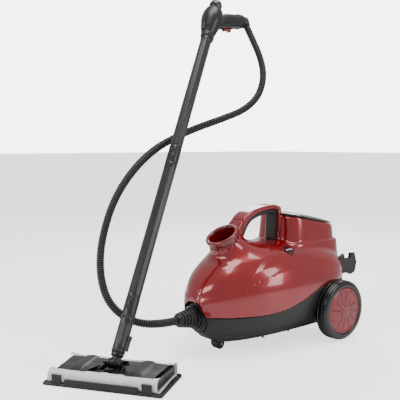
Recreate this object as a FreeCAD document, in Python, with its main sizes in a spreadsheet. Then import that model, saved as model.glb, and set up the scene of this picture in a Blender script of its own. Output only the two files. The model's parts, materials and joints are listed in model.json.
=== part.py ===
import FreeCAD, Part
import math
import os
import re
import Sketcher
from FreeCAD import Placement, Rotation, Vector

# A canister steam mop: canister on wheels, corrugated hose, gun, two tubes and a floor head with a cloth.
# Millimetres, +Z up, +X towards the canister's nose, +Y towards its left side.

SIZES = {
    # place of the canister's own origin (the caster's contact point) in the part's frame
    "row_x": -8.9, "row_y": 27.88,
    # canister envelope
    "body_front": 262, "body_rear": 198, "body_widest_x": -180, "body_half_width": 127,
    "body_rise": 130, "body_drop": 98, "waist_z": 120, "shell_wall": 3, "seam_front_z": 95, "seam_rear_z": 149,
    # raised block with the accessory tray
    "block_front": -182, "block_rear": -366, "block_half_width": 76, "block_rise": 68, "block_slope": 38,
    "block_lean": 0.085, "block_sink": 30,
    "lid_rise": 12, "lid_lap": 1, "lid_gap": 0.4, "lid_pin_radius": 2.5, "tray_wall": 2, "tray_depth": 62,
    # filler
    "funnel_x": -10, "funnel_stand": 42, "funnel_tilt": 30, "funnel_radius": 42, "funnel_mouth": 33,
    "funnel_depth": 60, "funnel_body": 37, "neck_radius": 16, "neck_bore": 12.5, "cap_radius": 20, "cap_height": 17,
    "seal_thickness": 2.5,
    # carry handle
    "handle_width": 42, "grip_width": 34, "grip_thickness": 9, "handle_rise": 94,
    # boiler and its fittings
    "boiler_radius": 58, "boiler_rear": -248, "boiler_front": -44, "boiler_wall": 2, "boiler_z": 140,
    "element_radius": 4, "element_spread": 20, "valve_length": 36, "valve_width": 34, "valve_height": 30,
    "pipe_radius": 4,
    # hose end at the nose
    "socket_radius": 38, "socket_face": 66, "socket_bore": 25, "plug_flange": 32, "hose_end_x": 128,
    "hose_z": 90, "hose_radius": 9.75,
    # rear wheels
    "axle_x": -292, "axle_radius": 4, "wheel_radius": 75.5, "wheel_width": 34, "wheel_inset": 9,
    "wheel_bore_clearance": 0.06, "disc_radius": 62.5, "disc_depth": 7, "wheel_gap": 3,
    # caster
    "caster_trail": 10, "roller_radius": 13, "roller_width": 22, "caster_pin_radius": 2.5, "stem_radius": 5,
    "stem_length": 26, "fork_thickness": 2.5,
    # cord hooks, gland, indicator, screws
    "hook_half_gap": 80, "hook_thickness": 10, "gland_radius": 9, "gland_y": 25, "gland_z": 115,
    "panel_length": 40, "panel_width": 25,
    "panel_thickness": 3, "lens_radius": 2.2, "screw_radius": 2, "screw_head": 4,
    # wand
    "tube_radius": 15, "tube_bore": 13, "tube_length": 386.7, "spigot_length": 45, "spigot_radius": 12.9,
    "spigot_bore": 9, "button_width": 12.5, "button_length": 21, "button_rise": 1.5, "button_gap": 0.35,
    "button_above_joint": 27, "adapter_start": 22, "adapter_end": 100, "latch_length": 33, "latch_width": 10,
    "latch_rise": 5,
    # gun
    "gun_rim_radius": 16.8, "gun_radius": 29, "gun_top_radius": 22, "gun_length": 97, "gun_wall": 2.5,
    "gun_turn": 145.08, "grip_angle": 52.64, "grip_start": 30, "grip_radius": 21.5, "grip_length": 110,
    "dial_radius": 18, "dial_sink": 3, "collar_length": 14, "elbow_radius": 14, "elbow_rise": 12,
    # floor head
    "head_x": 312.9, "head_y": 24.7, "head_turn": 33.9, "wand_roll": 5.22, "wand_lean": 31.83,
    "frame_length": 261, "frame_depth": 128, "frame_lip": 7, "frame_wall": 3, "frame_face": 16, "tab_height": 24,
    "tab_width": 22, "cloth_thickness": 4, "cloth_length": 244, "body_length": 234, "body_top": 25.5,
    "flap_inner": 22, "flap_outer": 113, "flap_front": 48, "flap_rear": -37, "flap_thickness": 3, "flap_z": 30.5,
    "flap_pin_radius": 1.5, "roll_x": -6.9, "roll_z": 24, "trunnion_radius": 5, "pitch_rise": 11.5,
    "pitch_pin_radius": 3, "knuckle_radius": 9, "knuckle_width": 20, "cheek_thickness": 4,
}

doc = FreeCAD.newDocument("steam_mop")
sheet = doc.addObject("Spreadsheet::Sheet", "Sizes")
for row, (name, value) in enumerate(SIZES.items(), 1):
    sheet.set("A%d" % row, name)
    sheet.set("B%d" % row, str(value))
    sheet.setAlias("B%d" % row, name)
doc.recompute()


class Sheet:
    """The sheet's cells as attributes, in millimetres and degrees."""
    def __getattr__(self, name):
        return float(sheet.get(name))


mm = Sheet()
nodes = []
X, Y, Z = Vector(1, 0, 0), Vector(0, 1, 0), Vector(0, 0, 1)


# ---------------------------------------------------------------- helpers

def cells(text):
    """An expression of cell names, with the sheet's name put before each."""
    return re.sub(r"[a-z_]{2,}", lambda word: "Sizes." + word.group(0), str(text))


def number(text):
    """The value of such an expression."""
    probe = doc.getObject("Probe") or doc.addObject("App::FeaturePython", "Probe")
    if "Result" not in probe.PropertiesList:
        probe.addProperty("App::PropertyFloat", "Result")
    probe.setExpression("Result", cells(text))
    probe.recompute()
    return probe.Result


def at(x=0, y=0, z=0, turn=0, axis=Z):
    return Placement(Vector(x, y, z), Rotation(axis, turn))


def towards(point, direction):
    return Placement(Vector(*point), Rotation(Z, Vector(*direction)))


def bind(thing, **sizes):
    for size, text in sizes.items():
        thing.setExpression(size, cells(text))
    return thing


def box(name, length, width, height, place, centred=True):
    thing = bind(doc.addObject("Part::Box", name), Length=length, Width=width, Height=height)
    shift = Vector(-number(length) / 2, -number(width) / 2, 0) if centred else Vector()
    thing.Placement = place.multiply(Placement(shift, Rotation()))
    return thing


def rod(name, radius, height, place):
    thing = bind(doc.addObject("Part::Cylinder", name), Radius=radius, Height=height)
    thing.Placement = place
    return thing


def raw(name, shape):
    thing = doc.addObject("Part::Feature", name)
    thing.Shape = shape
    return thing


def fuse(name, *things):
    joined = doc.addObject("Part::MultiFuse", name)
    joined.Shapes = list(things)
    return joined


def cut(name, base, *tools):
    result = doc.addObject("Part::Cut", name)
    result.Base = base
    result.Tool = tools[0] if len(tools) == 1 else fuse(name + "_tools", *tools)
    return result


def common(name, base, tool):
    result = doc.addObject("Part::Common", name)
    result.Base = base
    result.Tool = tool
    return result


def outline(body, name, points, plane):
    """A closed sketch whose corners are held by the sheet: points are pairs of expressions."""
    sketch = body.newObject("Sketcher::SketchObject", name)
    base = [f for f in body.Origin.OriginFeatures if f.Role == plane][0]
    sketch.AttachmentSupport = (base, "")
    sketch.MapMode = "FlatFace"
    corners = [Vector(number(a), number(b), 0) for a, b in points]
    count = len(corners)
    for index in range(count):
        sketch.addGeometry(Part.LineSegment(corners[index], corners[(index + 1) % count]), False)
    for index in range(count):
        sketch.addConstraint(Sketcher.Constraint("Coincident", index, 2, (index + 1) % count, 1))
    for index, pair in enumerate(points):
        for kind, axis, text in (("DistanceX", -2, pair[0]), ("DistanceY", -1, pair[1])):
            value = number(text)
            if abs(value) < 1e-9:
                sketch.addConstraint(Sketcher.Constraint("PointOnObject", index, 1, axis))
            else:
                held = sketch.addConstraint(Sketcher.Constraint(kind, -1, 1, index, 1, value))
                sketch.setExpression("Constraints[%d]" % held, cells(text))
    return sketch


def turned(name, points):
    """A body turned about its own Z axis from a radius and height outline."""
    body = doc.addObject("PartDesign::Body", name)
    sketch = outline(body, name + "_outline", points, "XZ_Plane")
    solid = body.newObject("PartDesign::Revolution", name + "_turned")
    solid.Profile = sketch
    solid.ReferenceAxis = (sketch, ["V_Axis"])
    solid.Angle = 360
    body.Tip = solid
    return body


def plate(name, points, height, corner=None):
    """A flat body: an outline in X and Y, raised along Z, its upright edges rounded."""
    body = doc.addObject("PartDesign::Body", name)
    sketch = outline(body, name + "_outline", points, "XY_Plane")
    pad = bind(body.newObject("PartDesign::Pad", name + "_pad"), Length=height)
    pad.Profile = sketch
    body.Tip = pad
    if corner:
        doc.recompute()
        upright = []
        for index, edge in enumerate(pad.Shape.Edges, 1):
            ends = [v.Point for v in edge.Vertexes]
            if len(ends) == 2 and (ends[0] - ends[1]).cross(Z).Length < 1e-6:
                upright.append("Edge%d" % index)
        rounding = bind(body.newObject("PartDesign::Fillet", name + "_corners"), Radius=corner)
        rounding.Base = (pad, upright)
        body.Tip = rounding
    return body


def rectangle(length, width):
    a, b = "(%s) / 2" % length, "(%s) / 2" % width
    return [("-" + a, "-" + b), (a, "-" + b), (a, b), ("-" + a, b)]


def keep(name, thing, frame):
    """Registers a finished sub-part under its label, moved from its local frame into the part's."""
    thing.Placement = frame.multiply(thing.Placement)
    thing.Label = name
    nodes.append(thing)
    return thing


# ---------------------------------------------------------------- frames

CANISTER = at(mm.row_x, mm.row_y)
HEAD = CANISTER.multiply(at(mm.head_x, mm.head_y, 0, mm.head_turn))
YOKE = HEAD.multiply(at(mm.roll_x, 0, mm.roll_z, -mm.wand_roll, X))
WAND = YOKE.multiply(at(0, 0, mm.pitch_rise, -mm.wand_lean, Y))
joint_low = mm.adapter_end
joint_mid = joint_low + mm.tube_length
joint_top = joint_mid + mm.tube_length
GUN = WAND.multiply(at(0, 0, joint_top, mm.gun_turn - 180))
GRIP = GUN.multiply(at(0, 0, mm.button_above_joint + mm.grip_start, -mm.grip_angle, Y))


# ---------------------------------------------------------------- canister envelope

CREST = mm.waist_z + mm.body_rise


def taper(share, power, root):
    return (1 - min(share, 1) ** power) ** root


def envelope_half_width(x, inset=0):
    reach = x - mm.body_widest_x
    if reach > 0:
        return (mm.body_half_width - inset) * taper(reach / (mm.body_front - inset), 2.2, 0.5)
    return (mm.body_half_width - inset) * taper(-reach / (mm.body_rear - inset), 4, 1 / 3)


def envelope_top(x, inset=0):
    reach = x - mm.body_widest_x
    if reach > 0:
        rise = taper(reach / (mm.body_front - inset), 2.6, 0.5)
    else:
        rise = taper(-reach / (mm.body_rear - inset), 4, 1 / 3)
    return mm.waist_z + (mm.body_rise - inset) * rise


def envelope_bottom(x, inset=0):
    reach = x - mm.body_widest_x
    length = mm.body_front if reach > 0 else mm.body_rear
    drop = taper(abs(reach) / (length - inset), 8, 0.5)
    return mm.waist_z - (mm.body_drop - inset) * drop


def rounded(half_width, up, down, power, place):
    """A closed smooth loop: a superellipse with separate heights above and below its waist."""
    points = []
    for step in range(28):
        angle = 2 * math.pi * step / 28
        c, s = math.cos(angle), math.sin(angle)
        across = half_width * math.copysign(abs(c) ** (2 / power), c)
        tall = (up if s > 0 else down) * abs(s) ** (2 / power)
        points.append(place.multVec(Vector(0, across, math.copysign(tall, s))))
    curve = Part.BSplineCurve()
    curve.interpolate(points, PeriodicFlag=True)
    return Part.Wire([curve.toShape()])


def envelope(inset):
    wires = []
    for step in range(13):
        share = -math.cos(math.pi * step / 12)
        reach = share * ((mm.body_front if share > 0 else mm.body_rear) - inset) * 0.985
        x = mm.body_widest_x + reach
        up = envelope_top(x, inset) - mm.waist_z
        down = mm.waist_z - envelope_bottom(x, inset)
        wires.append(rounded(envelope_half_width(x, inset), up, down, 2.6, at(x, 0, mm.waist_z)))
    return Part.makeLoft(wires, True, False)


def block_top(x):
    """Height of the block's sloping upper face."""
    share = (mm.block_front - x) / (mm.block_front - mm.block_rear)
    return mm.waist_z + mm.body_rise + mm.block_rise - mm.block_slope * share


def block_outline(shrink, z):
    """A level loop round the block, its sides moved in by shrink."""
    middle = (mm.block_front + mm.block_rear) / 2
    half = (mm.block_front - mm.block_rear) / 2
    points = []
    for step in range(28):
        angle = 2 * math.pi * step / 28
        c, s = math.cos(angle), math.sin(angle)
        x = middle + (half - shrink) * math.copysign(abs(c) ** 0.45, c)
        y = (mm.block_half_width - shrink) * math.copysign(abs(s) ** 0.45, s)
        points.append(Vector(x, y, z))
    curve = Part.BSplineCurve()
    curve.interpolate(points, PeriodicFlag=True)
    return Part.Wire([curve.toShape()])


def block(inset, low, lift):
    """The raised block, its sides leaning in, from height low to its sloping top moved up by lift."""
    foot = CREST - mm.block_sink
    high = block_top(mm.block_front) + lift + 5
    loops = [block_outline(inset + mm.block_lean * (z - foot), z) for z in (low, high)]
    slope = math.degrees(math.atan2(mm.block_slope, mm.block_front - mm.block_rear))
    above = Part.makeBox(600, 600, 200, Vector(-100, -300, 0))
    above.Placement = at(mm.block_rear, 0, block_top(mm.block_rear) + lift, -slope, Y)
    return Part.makeLoft(loops, True, True).cut(above)


def side_prism(points, width, middle=0.0):
    """An XZ outline, given as corners or as lists of points for a smooth stretch, raised along Y."""
    edges = []
    start = None
    first = None
    for item in points:
        stretch = item if isinstance(item, list) else [item]
        vectors = [Vector(x, middle - width / 2, z) for x, z in stretch]
        if start is not None:
            edges.append(Part.LineSegment(start, vectors[0]).toShape())
        if len(vectors) > 1:
            curve = Part.BSplineCurve()
            curve.interpolate(vectors)
            edges.append(curve.toShape())
        first = first or vectors[0]
        start = vectors[-1]
    edges.append(Part.LineSegment(start, first).toShape())
    face = Part.Face(Part.Wire(edges))
    return face.extrude(Vector(0, width, 0))


FUNNEL_Z = envelope_top(mm.funnel_x - 30) + mm.funnel_stand
FUNNEL = at(mm.funnel_x, 0, FUNNEL_Z, mm.funnel_tilt, Y)
WHEEL_Y = mm.body_half_width - mm.wheel_inset


def wheel_wells(radius, face):
    left = Part.makeCylinder(radius, 200, Vector(mm.axle_x, face, mm.wheel_radius), Y)
    right = Part.makeCylinder(radius, 200, Vector(mm.axle_x, -face, mm.wheel_radius), Y * -1)
    return left.fuse(right)


def canister_shells():
    wall = mm.shell_wall
    gap = mm.wheel_gap
    cavity = envelope(wall).cut(wheel_wells(mm.wheel_radius + gap + wall, WHEEL_Y - gap - wall))
    outer = envelope(0).cut(wheel_wells(mm.wheel_radius + gap, WHEEL_Y - gap))
    nose, tail = mm.seam_front_z, mm.seam_rear_z
    seam = [(-20, nose), (-105, nose + 0.11 * (tail - nose)), (-168, nose + 0.37 * (tail - nose)),
            (-227, nose + 0.78 * (tail - nose)), (-285, tail)]
    below = side_prism([(-600, -50), (200, -50), (200, nose), seam, (-600, tail)], 600)
    flare_top = mm.funnel_body + mm.shell_wall
    flare = Part.makeCone(flare_top + 22, flare_top, 36, Vector(0, 0, -48), Z)
    flare.Placement = FUNNEL
    funnel_bore = Part.makeCylinder(mm.funnel_body, 120, Vector(0, 0, -90), Z)
    funnel_bore.Placement = FUNNEL
    hump = block(0, CREST - mm.block_sink, 0).fuse(flare)
    tub = block(wall, CREST - mm.block_sink - 1, 1)
    socket = Part.makeCylinder(mm.socket_radius, 200, Vector(mm.socket_face - 40, 0, mm.hose_z), X)
    ears = lid_knuckles(0)
    upper = outer.cut(below).fuse(hump).cut(cavity).cut(tub).cut(funnel_bore).cut(socket)
    upper = upper.fuse(ears).cut(lid_swing()).cut(rear_pin(0))
    lower = outer.common(below).cut(cavity)
    recess = mm.caster_trail + mm.roller_radius + 12
    ceiling = 2 * mm.roller_radius + 7
    pod = Part.makeCylinder(recess + wall, ceiling + wall - 24, Vector(mm.caster_trail, 0, 24), Z)
    pod = pod.common(envelope(0))
    stem_post = Part.makeCylinder(mm.stem_radius + 4, mm.stem_length, Vector(mm.caster_trail, 0, ceiling), Z)
    lower = lower.fuse(pod).fuse(stem_post)
    lower = lower.cut(Part.makeCylinder(recess, ceiling, Vector(mm.caster_trail, 0, 0), Z))
    stem_bore = Part.makeCylinder(mm.stem_radius + 0.08, 100, Vector(mm.caster_trail, 0, 20), Z)
    axle_bore = Part.makeCylinder(mm.axle_radius, 400, Vector(mm.axle_x, -200, mm.wheel_radius), Y)
    gland_start = Vector(mm.body_widest_x - mm.body_rear - 20, mm.gland_y, mm.gland_z)
    gland_bore = Part.makeCylinder(mm.gland_radius - 2, 60, gland_start, X)
    lower = lower.cut(stem_bore).cut(axle_bore).cut(gland_bore).cut(socket)
    for x, y in screw_places():
        post = Part.makeCylinder(mm.screw_head + 2, 30, Vector(x, y, mm.waist_z - mm.body_drop + 1), Z)
        hole = Part.makeCylinder(mm.screw_radius, 200, Vector(x, y, 0), Z)
        sink = Part.makeCylinder(mm.screw_head, 26, Vector(x, y, 0), Z)
        lower = lower.fuse(post).cut(hole).cut(sink)
    panel = panel_seat().cut(envelope(mm.panel_thickness + 8))
    return upper.cut(panel), lower


def screw_places():
    wide = 0.5 * mm.body_half_width
    return [(-90, wide), (-90, -wide), (-180, wide), (-180, -wide), (-350, 0.45 * wide), (-350, -0.45 * wide)]


LID_X = mm.block_rear + 2
LID_Z = block_top(mm.block_rear) - 3


def rear_pin(extra):
    return Part.makeCylinder(mm.lid_pin_radius + extra, 64, Vector(LID_X - 5, -32, LID_Z), Y)


def lid_knuckles(which):
    """Hinge barrels: two on the block (0) or the middle one on the lid (1)."""
    radius = mm.lid_pin_radius + 2.5
    if which:
        return Part.makeCylinder(radius, 40, Vector(LID_X - 5, -20, LID_Z), Y)
    left = Part.makeCylinder(radius, 11, Vector(LID_X - 5, 21, LID_Z), Y)
    right = Part.makeCylinder(radius, 11, Vector(LID_X - 5, -32, LID_Z), Y)
    web_left = Part.makeBox(10, 11, 12, Vector(LID_X - 5, 21, LID_Z - 14))
    web_right = Part.makeBox(10, 11, 12, Vector(LID_X - 5, -32, LID_Z - 14))
    return left.fuse([right, web_left, web_right])


def lid_swing():
    """Room in the block for the lid's own knuckle."""
    return Part.makeBox(17, 42, 20, Vector(LID_X - 12, -21, LID_Z - 8))


def lid_shape():
    lift = mm.lid_gap
    layers = []
    middle = (mm.block_front + mm.block_rear) / 2
    half = (mm.block_front - mm.block_rear) / 2 - 8
    for inset, up in ((-mm.lid_lap, 0), (-mm.lid_lap, 2), (3, 6.5), (14, 10), (34, mm.lid_rise)):
        points = []
        for step in range(28):
            angle = 2 * math.pi * step / 28
            c, s = math.cos(angle), math.sin(angle)
            x = middle + (half - inset) * math.copysign(abs(c) ** 0.45, c)
            y = (mm.block_half_width - 8 - inset) * math.copysign(abs(s) ** 0.45, s)
            points.append(Vector(x, y, block_top(x) + lift + up))
        curve = Part.BSplineCurve()
        curve.interpolate(points, PeriodicFlag=True)
        layers.append(Part.Wire([curve.toShape()]))
    dome = Part.makeLoft(layers, True, True)
    arm = Part.makeBox(16, 38, 6, Vector(LID_X - 6, -19, LID_Z - 1))
    knuckle = lid_knuckles(1).fuse(arm.cut(block(0, CREST, lift)))
    shape = dome.fuse(knuckle.cut(block(-3, CREST, lift).cut(dome)))
    return shape.cut(rear_pin(0.05))


def panel_frame():
    x, y = -162, 0.62 * mm.body_half_width
    share = (y / envelope_half_width(x)) ** 2.6
    rise = envelope_top(x) - mm.waist_z
    z = mm.waist_z + rise * (1 - share) ** (1 / 2.6)
    return at(x, y, z - 1).multiply(at(0, 0, 0, -26, X)).multiply(at(0, 0, 0, 45))


def panel_seat():
    a, b = mm.panel_length * 0.7, mm.panel_width
    seat = Part.makeBox(a, b, 30, Vector(-a / 2, -b / 2, 0))
    seat.Placement = panel_frame()
    return seat


# ---------------------------------------------------------------- canister parts

def make_canister():
    upper, lower = canister_shells()
    keep("upper_shell", raw("UpperShell", upper), CANISTER)
    keep("lower_base", raw("LowerBase", lower), CANISTER)

    funnel = turned("Funnel", [
        ("funnel_mouth", "0"), ("funnel_radius", "0"), ("funnel_radius", "-9"), ("funnel_body", "-11"),
        ("funnel_body", "-funnel_depth"), ("neck_bore", "-funnel_depth"), ("neck_bore", "-funnel_depth + 3"),
        ("cap_radius + 5", "-funnel_depth + 3"), ("cap_radius + 8", "-funnel_depth + 32")])
    keep("filler_funnel", funnel, CANISTER.multiply(FUNNEL))

    slant = math.cos(math.radians(mm.funnel_tilt))
    base_z = FUNNEL_Z - mm.funnel_depth * slant
    drop = (base_z - mm.boiler_z - mm.boiler_radius + 22) / slant
    neck_top = FUNNEL.multiply(at(0, 0, -mm.funnel_depth - drop))
    tube = Part.makeCylinder(mm.neck_radius, drop).cut(Part.makeCylinder(mm.neck_bore, drop))
    keep("filler_neck", raw("Neck", tube), CANISTER.multiply(neck_top))

    floor = "-funnel_depth + 3.1"
    cap = turned("Cap", [
        ("0", floor + " - 18"), ("neck_bore - 0.1", floor + " - 18"),
        ("neck_bore - 0.1", floor + " + seal_thickness"),
        ("cap_radius - 4", floor + " + seal_thickness"), ("cap_radius", floor + " + seal_thickness + 7"),
        ("cap_radius", floor + " + cap_height"), ("cap_radius - 3", floor + " + cap_height + 3"),
        ("0", floor + " + cap_height + 3")])
    keep("filler_cap", cap, CANISTER.multiply(FUNNEL))
    seal = turned("Seal", [("neck_bore", floor), ("neck_bore + 4.5", floor),
                           ("neck_bore + 4.5", floor + " + seal_thickness"),
                           ("neck_bore", floor + " + seal_thickness")])
    keep("cap_seal", seal, CANISTER.multiply(FUNNEL))
    make_handle()
    make_boiler(Part.makeCylinder(mm.neck_radius, drop), neck_top)
    make_tray()
    make_hose_end()


def make_handle():
    top = CREST + mm.handle_rise
    crown = [(-46, CREST + 45), (-72, top - 21), (-108, top - 8), (-161, top), (-190, top - 5),
             (-204, top - 16)]
    middle = [(-62, CREST + 30), (-80, top - 34), (-110, top - 19), (-160, top - 12), (-186, top - 17)]
    under = [(-66, CREST + 14), (-86, top - 43), (-112, top - 30), (-160, top - 22), (-178, top - 30)]
    hump = block(0, CREST - mm.block_sink, mm.lid_gap + 0.3)
    away = envelope(0).fuse(hump).fuse(filler_outline()).fuse(lid_clearance())
    solid = side_prism([(-30, CREST - 25), crown, (-204, CREST - 25)], mm.handle_width)
    hollow = side_prism([(-62, CREST - 40), middle, (-186, CREST - 40)], 200)
    arch = solid.cut(hollow).cut(away)
    keep("carry_handle", raw("Handle", largest(arch)), CANISTER)
    lining = side_prism([(-62, CREST - 10), middle, (-186, CREST - 10)], mm.grip_width)
    gap = side_prism([(-66, CREST - 40), under, (-178, CREST - 40)], 200)
    grip = lining.cut(gap).cut(away).cut(solid.cut(hollow))
    keep("handle_grip", raw("Grip", largest(grip)), CANISTER)


def filler_outline():
    rim = Part.makeCylinder(mm.funnel_radius + 0.3, 60, Vector(0, 0, -20), Z)
    flare_top = mm.funnel_body + mm.shell_wall
    flare = Part.makeCone(flare_top + 22, flare_top, 36, Vector(0, 0, -48), Z)
    both = rim.fuse(flare)
    both.Placement = FUNNEL
    return both


def lid_clearance():
    """The space that the lid and its swing at the front edge take."""
    edge = mm.block_front - 8 + mm.lid_lap + 2
    return Part.makeBox(120, 200, 60, Vector(edge - 120, -100, block_top(mm.block_front) - 5))


def largest(shape):
    solids = sorted(shape.Solids, key=lambda piece: piece.Volume)
    return solids[-1]


def make_boiler(neck, neck_place):
    size = "(boiler_front - boiler_rear)"
    rings = [("0", "%s"), ("boiler_radius - 18 - wall", "3 + %s"), ("boiler_radius - 4 - wall", "12 + %s"),
             ("boiler_radius - wall", "24")]

    def half(wall, far):
        points = []
        for radius, height in rings:
            radius = radius.replace("wall", wall)
            height = height % wall if "%s" in height else height
            points.append((radius, "%s - (%s)" % (size, height) if far else height))
        return points
    skin = half("0", False) + half("0", True)[::-1]
    inside = half("boiler_wall", True) + half("boiler_wall", False)[::-1]
    vessel = turned("Vessel", skin + inside)
    along = towards((mm.boiler_rear, 0, mm.boiler_z), X)
    vessel.Placement = along
    low = mm.boiler_z - 0.6 * mm.boiler_radius
    rods = []
    for side in (-1, 1):
        start = (mm.boiler_rear - 14, side * mm.element_spread, low)
        rods.append(rod("ElementRun", "element_radius", "boiler_front - boiler_rear - 30", towards(start, X)))
    bend = doc.addObject("Part::Torus", "ElementBend")
    bind(bend, Radius1="element_spread", Radius2="element_radius", Angle3="180")
    bend.Placement = at(mm.boiler_front - 44, 0, low, -90)
    element = fuse("Element", rods[0], rods[1], bend)
    holes = []
    for side in (-1, 1):
        start = (mm.boiler_rear - 20, side * mm.element_spread, low)
        holes.append(rod("ElementHole", "element_radius", "40", towards(start, X)))
    neck.Placement = neck_place
    hole = raw("NeckHole", neck)
    keep("boiler", cut("Boiler", vessel, holes[0], holes[1], hole), CANISTER)
    keep("heating_element", element, CANISTER)

    drum = Part.makeCylinder(mm.boiler_radius, 400, Vector(-400, 0, mm.boiler_z), X)
    saddles = []
    for x in (mm.boiler_rear + 34, mm.boiler_front - 42):
        reach = 0.75 * mm.boiler_radius
        slab = Part.makeBox(18, 2 * reach, mm.boiler_z - 10, Vector(x - 9, -reach, 0))
        saddles.append(largest(slab.common(envelope(mm.shell_wall + 0.2)).cut(drum)))
    keep("boiler_brackets", raw("Brackets", Part.makeCompound(saddles)), CANISTER)
    top = mm.boiler_z + mm.boiler_radius
    for name, x, radius, height in (("safety_valve", -205, 9, 22), ("thermostat", -145, 12, 10)):
        stub = Part.makeCylinder(radius, height + 8, Vector(x, 0, top - 8), Z).cut(drum)
        keep(name, raw(name + "_body", stub), CANISTER)

    level = mm.boiler_z - 7
    start = mm.boiler_front + 8
    valve = box("Valve", "valve_length", "valve_width", "valve_height",
                at(start + mm.valve_length / 2, 0, level - mm.valve_height / 2))
    keep("steam_valve", valve, CANISTER)
    corner = start + mm.valve_length + 14
    inlet = rod("Inlet", "pipe_radius", "7", towards((mm.boiler_front + 1, 0, mm.boiler_z), X))
    inlet.Height = 7
    run = rod("Run", "pipe_radius", "14", towards((corner - 14, 0, level), X))
    fall = rod("Fall", "pipe_radius", "%s" % (level - mm.hose_z), towards((corner, 0, mm.hose_z), Z))
    reach = mm.socket_face - 18 - corner
    feed = rod("Feed", "pipe_radius", "%s" % reach, towards((corner, 0, mm.hose_z), X))
    knees = []
    for z in (level, mm.hose_z):
        knee = bind(doc.addObject("Part::Sphere", "Knee"), Radius="pipe_radius")
        knee.Placement = at(corner, 0, z)
        knees.append(knee)
    keep("steam_pipe", fuse("Pipe", inlet, run, fall, feed, *knees), CANISTER)


def make_tray():
    floor = block_top((mm.block_front + mm.block_rear) / 2) - mm.tray_depth
    outside = block(mm.shell_wall + 0.1, floor, -1)
    inside = block(mm.shell_wall + mm.tray_wall, floor + mm.tray_wall, 6)
    tray = outside.cut(inside).cut(lid_swing())
    keep("accessory_tray", raw("Tray", tray), CANISTER)
    keep("accessory_lid", raw("Lid", lid_shape()), CANISTER)
    pin = rod("LidPin", "lid_pin_radius", "64", towards((LID_X - 5, -32, LID_Z), Y))
    keep("lid_hinge_pin", pin, CANISTER)

    tail = mm.body_widest_x - mm.body_rear
    hook = [(tail + 30, 196), (tail + 12, 205), (tail + 8, 192), (tail - 14, 190), (tail - 18, 204),
            (tail - 34, 203), (tail - 43, 176), (tail - 36, 150), (tail - 18, 145), (tail, 152), (tail + 30, 150)]
    for name, side in (("cord_hook_left", 1), ("cord_hook_right", -1)):
        middle = side * (mm.hook_half_gap + mm.hook_thickness / 2)
        shape = side_prism(hook, mm.hook_thickness, middle).cut(envelope(0))
        keep(name, raw(name + "_body", largest(shape)), CANISTER)

    panel = plate("Panel", rectangle("panel_length * 0.7", "panel_width"), "panel_thickness", "2")
    keep("indicator_panel", panel, CANISTER.multiply(panel_frame()))
    lenses = [rod("Lens", "lens_radius", "0.8", at(x, -x, mm.panel_thickness)) for x in (-5.5, 0, 5.5)]
    keep("indicator_lenses", fuse("Lenses", *lenses), CANISTER.multiply(panel_frame()))

    gland = turned("Gland", [("3.5", "0"), ("gland_radius - 4", "0"), ("gland_radius - 2", "12"),
                             ("gland_radius", "12"), ("gland_radius", "16"), ("gland_radius - 2", "16"),
                             ("gland_radius - 2", "30"), ("3.5", "30")])
    keep("cable_gland", gland, CANISTER.multiply(towards((tail - 13, mm.gland_y, mm.gland_z), X)))
    screws = []
    for x, y in screw_places():
        head = rod("ScrewHead", "screw_head", "2.5", at(x, y, mm.waist_z - mm.body_drop + 1.5))
        shank = rod("Shank", "screw_radius", "22", at(x, y, mm.waist_z - mm.body_drop + 4))
        screws += [head, shank]
    keep("case_screws", fuse("Screws", *screws), CANISTER)


def make_hose_end():
    socket = turned("Socket", [
        ("pipe_radius", "0"), ("socket_radius", "0"), ("socket_radius", "40"), ("plug_flange", "41"),
        ("plug_flange", "48"), ("socket_bore", "48"), ("socket_bore", "22"), ("pipe_radius", "22")])
    keep("hose_socket", socket, CANISTER.multiply(towards((mm.socket_face - 40, 0, mm.hose_z), X)))
    far = "hose_end_x - socket_face + 18"
    plug = [("6", "0"), ("socket_bore", "0"), ("socket_bore", "26.2"), ("socket_bore + 2", "26.2"),
            ("socket_bore + 2", "34")]
    for step in range(5):
        radius = "socket_bore - %s" % (1.5 + 1.6 * step)
        plug += [(radius + " - 2", str(34 + 8 * step)), (radius + " - 2", str(37 + 8 * step)),
                 (radius, str(37 + 8 * step)), (radius, str(42 + 8 * step))]
    plug += [("hose_radius + 4", "74"), ("hose_radius + 3", far), ("6", far)]
    connector = turned("Connector", plug)
    keep("hose_connector", connector, CANISTER.multiply(towards((mm.socket_face - 18, 0, mm.hose_z), X)))


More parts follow.
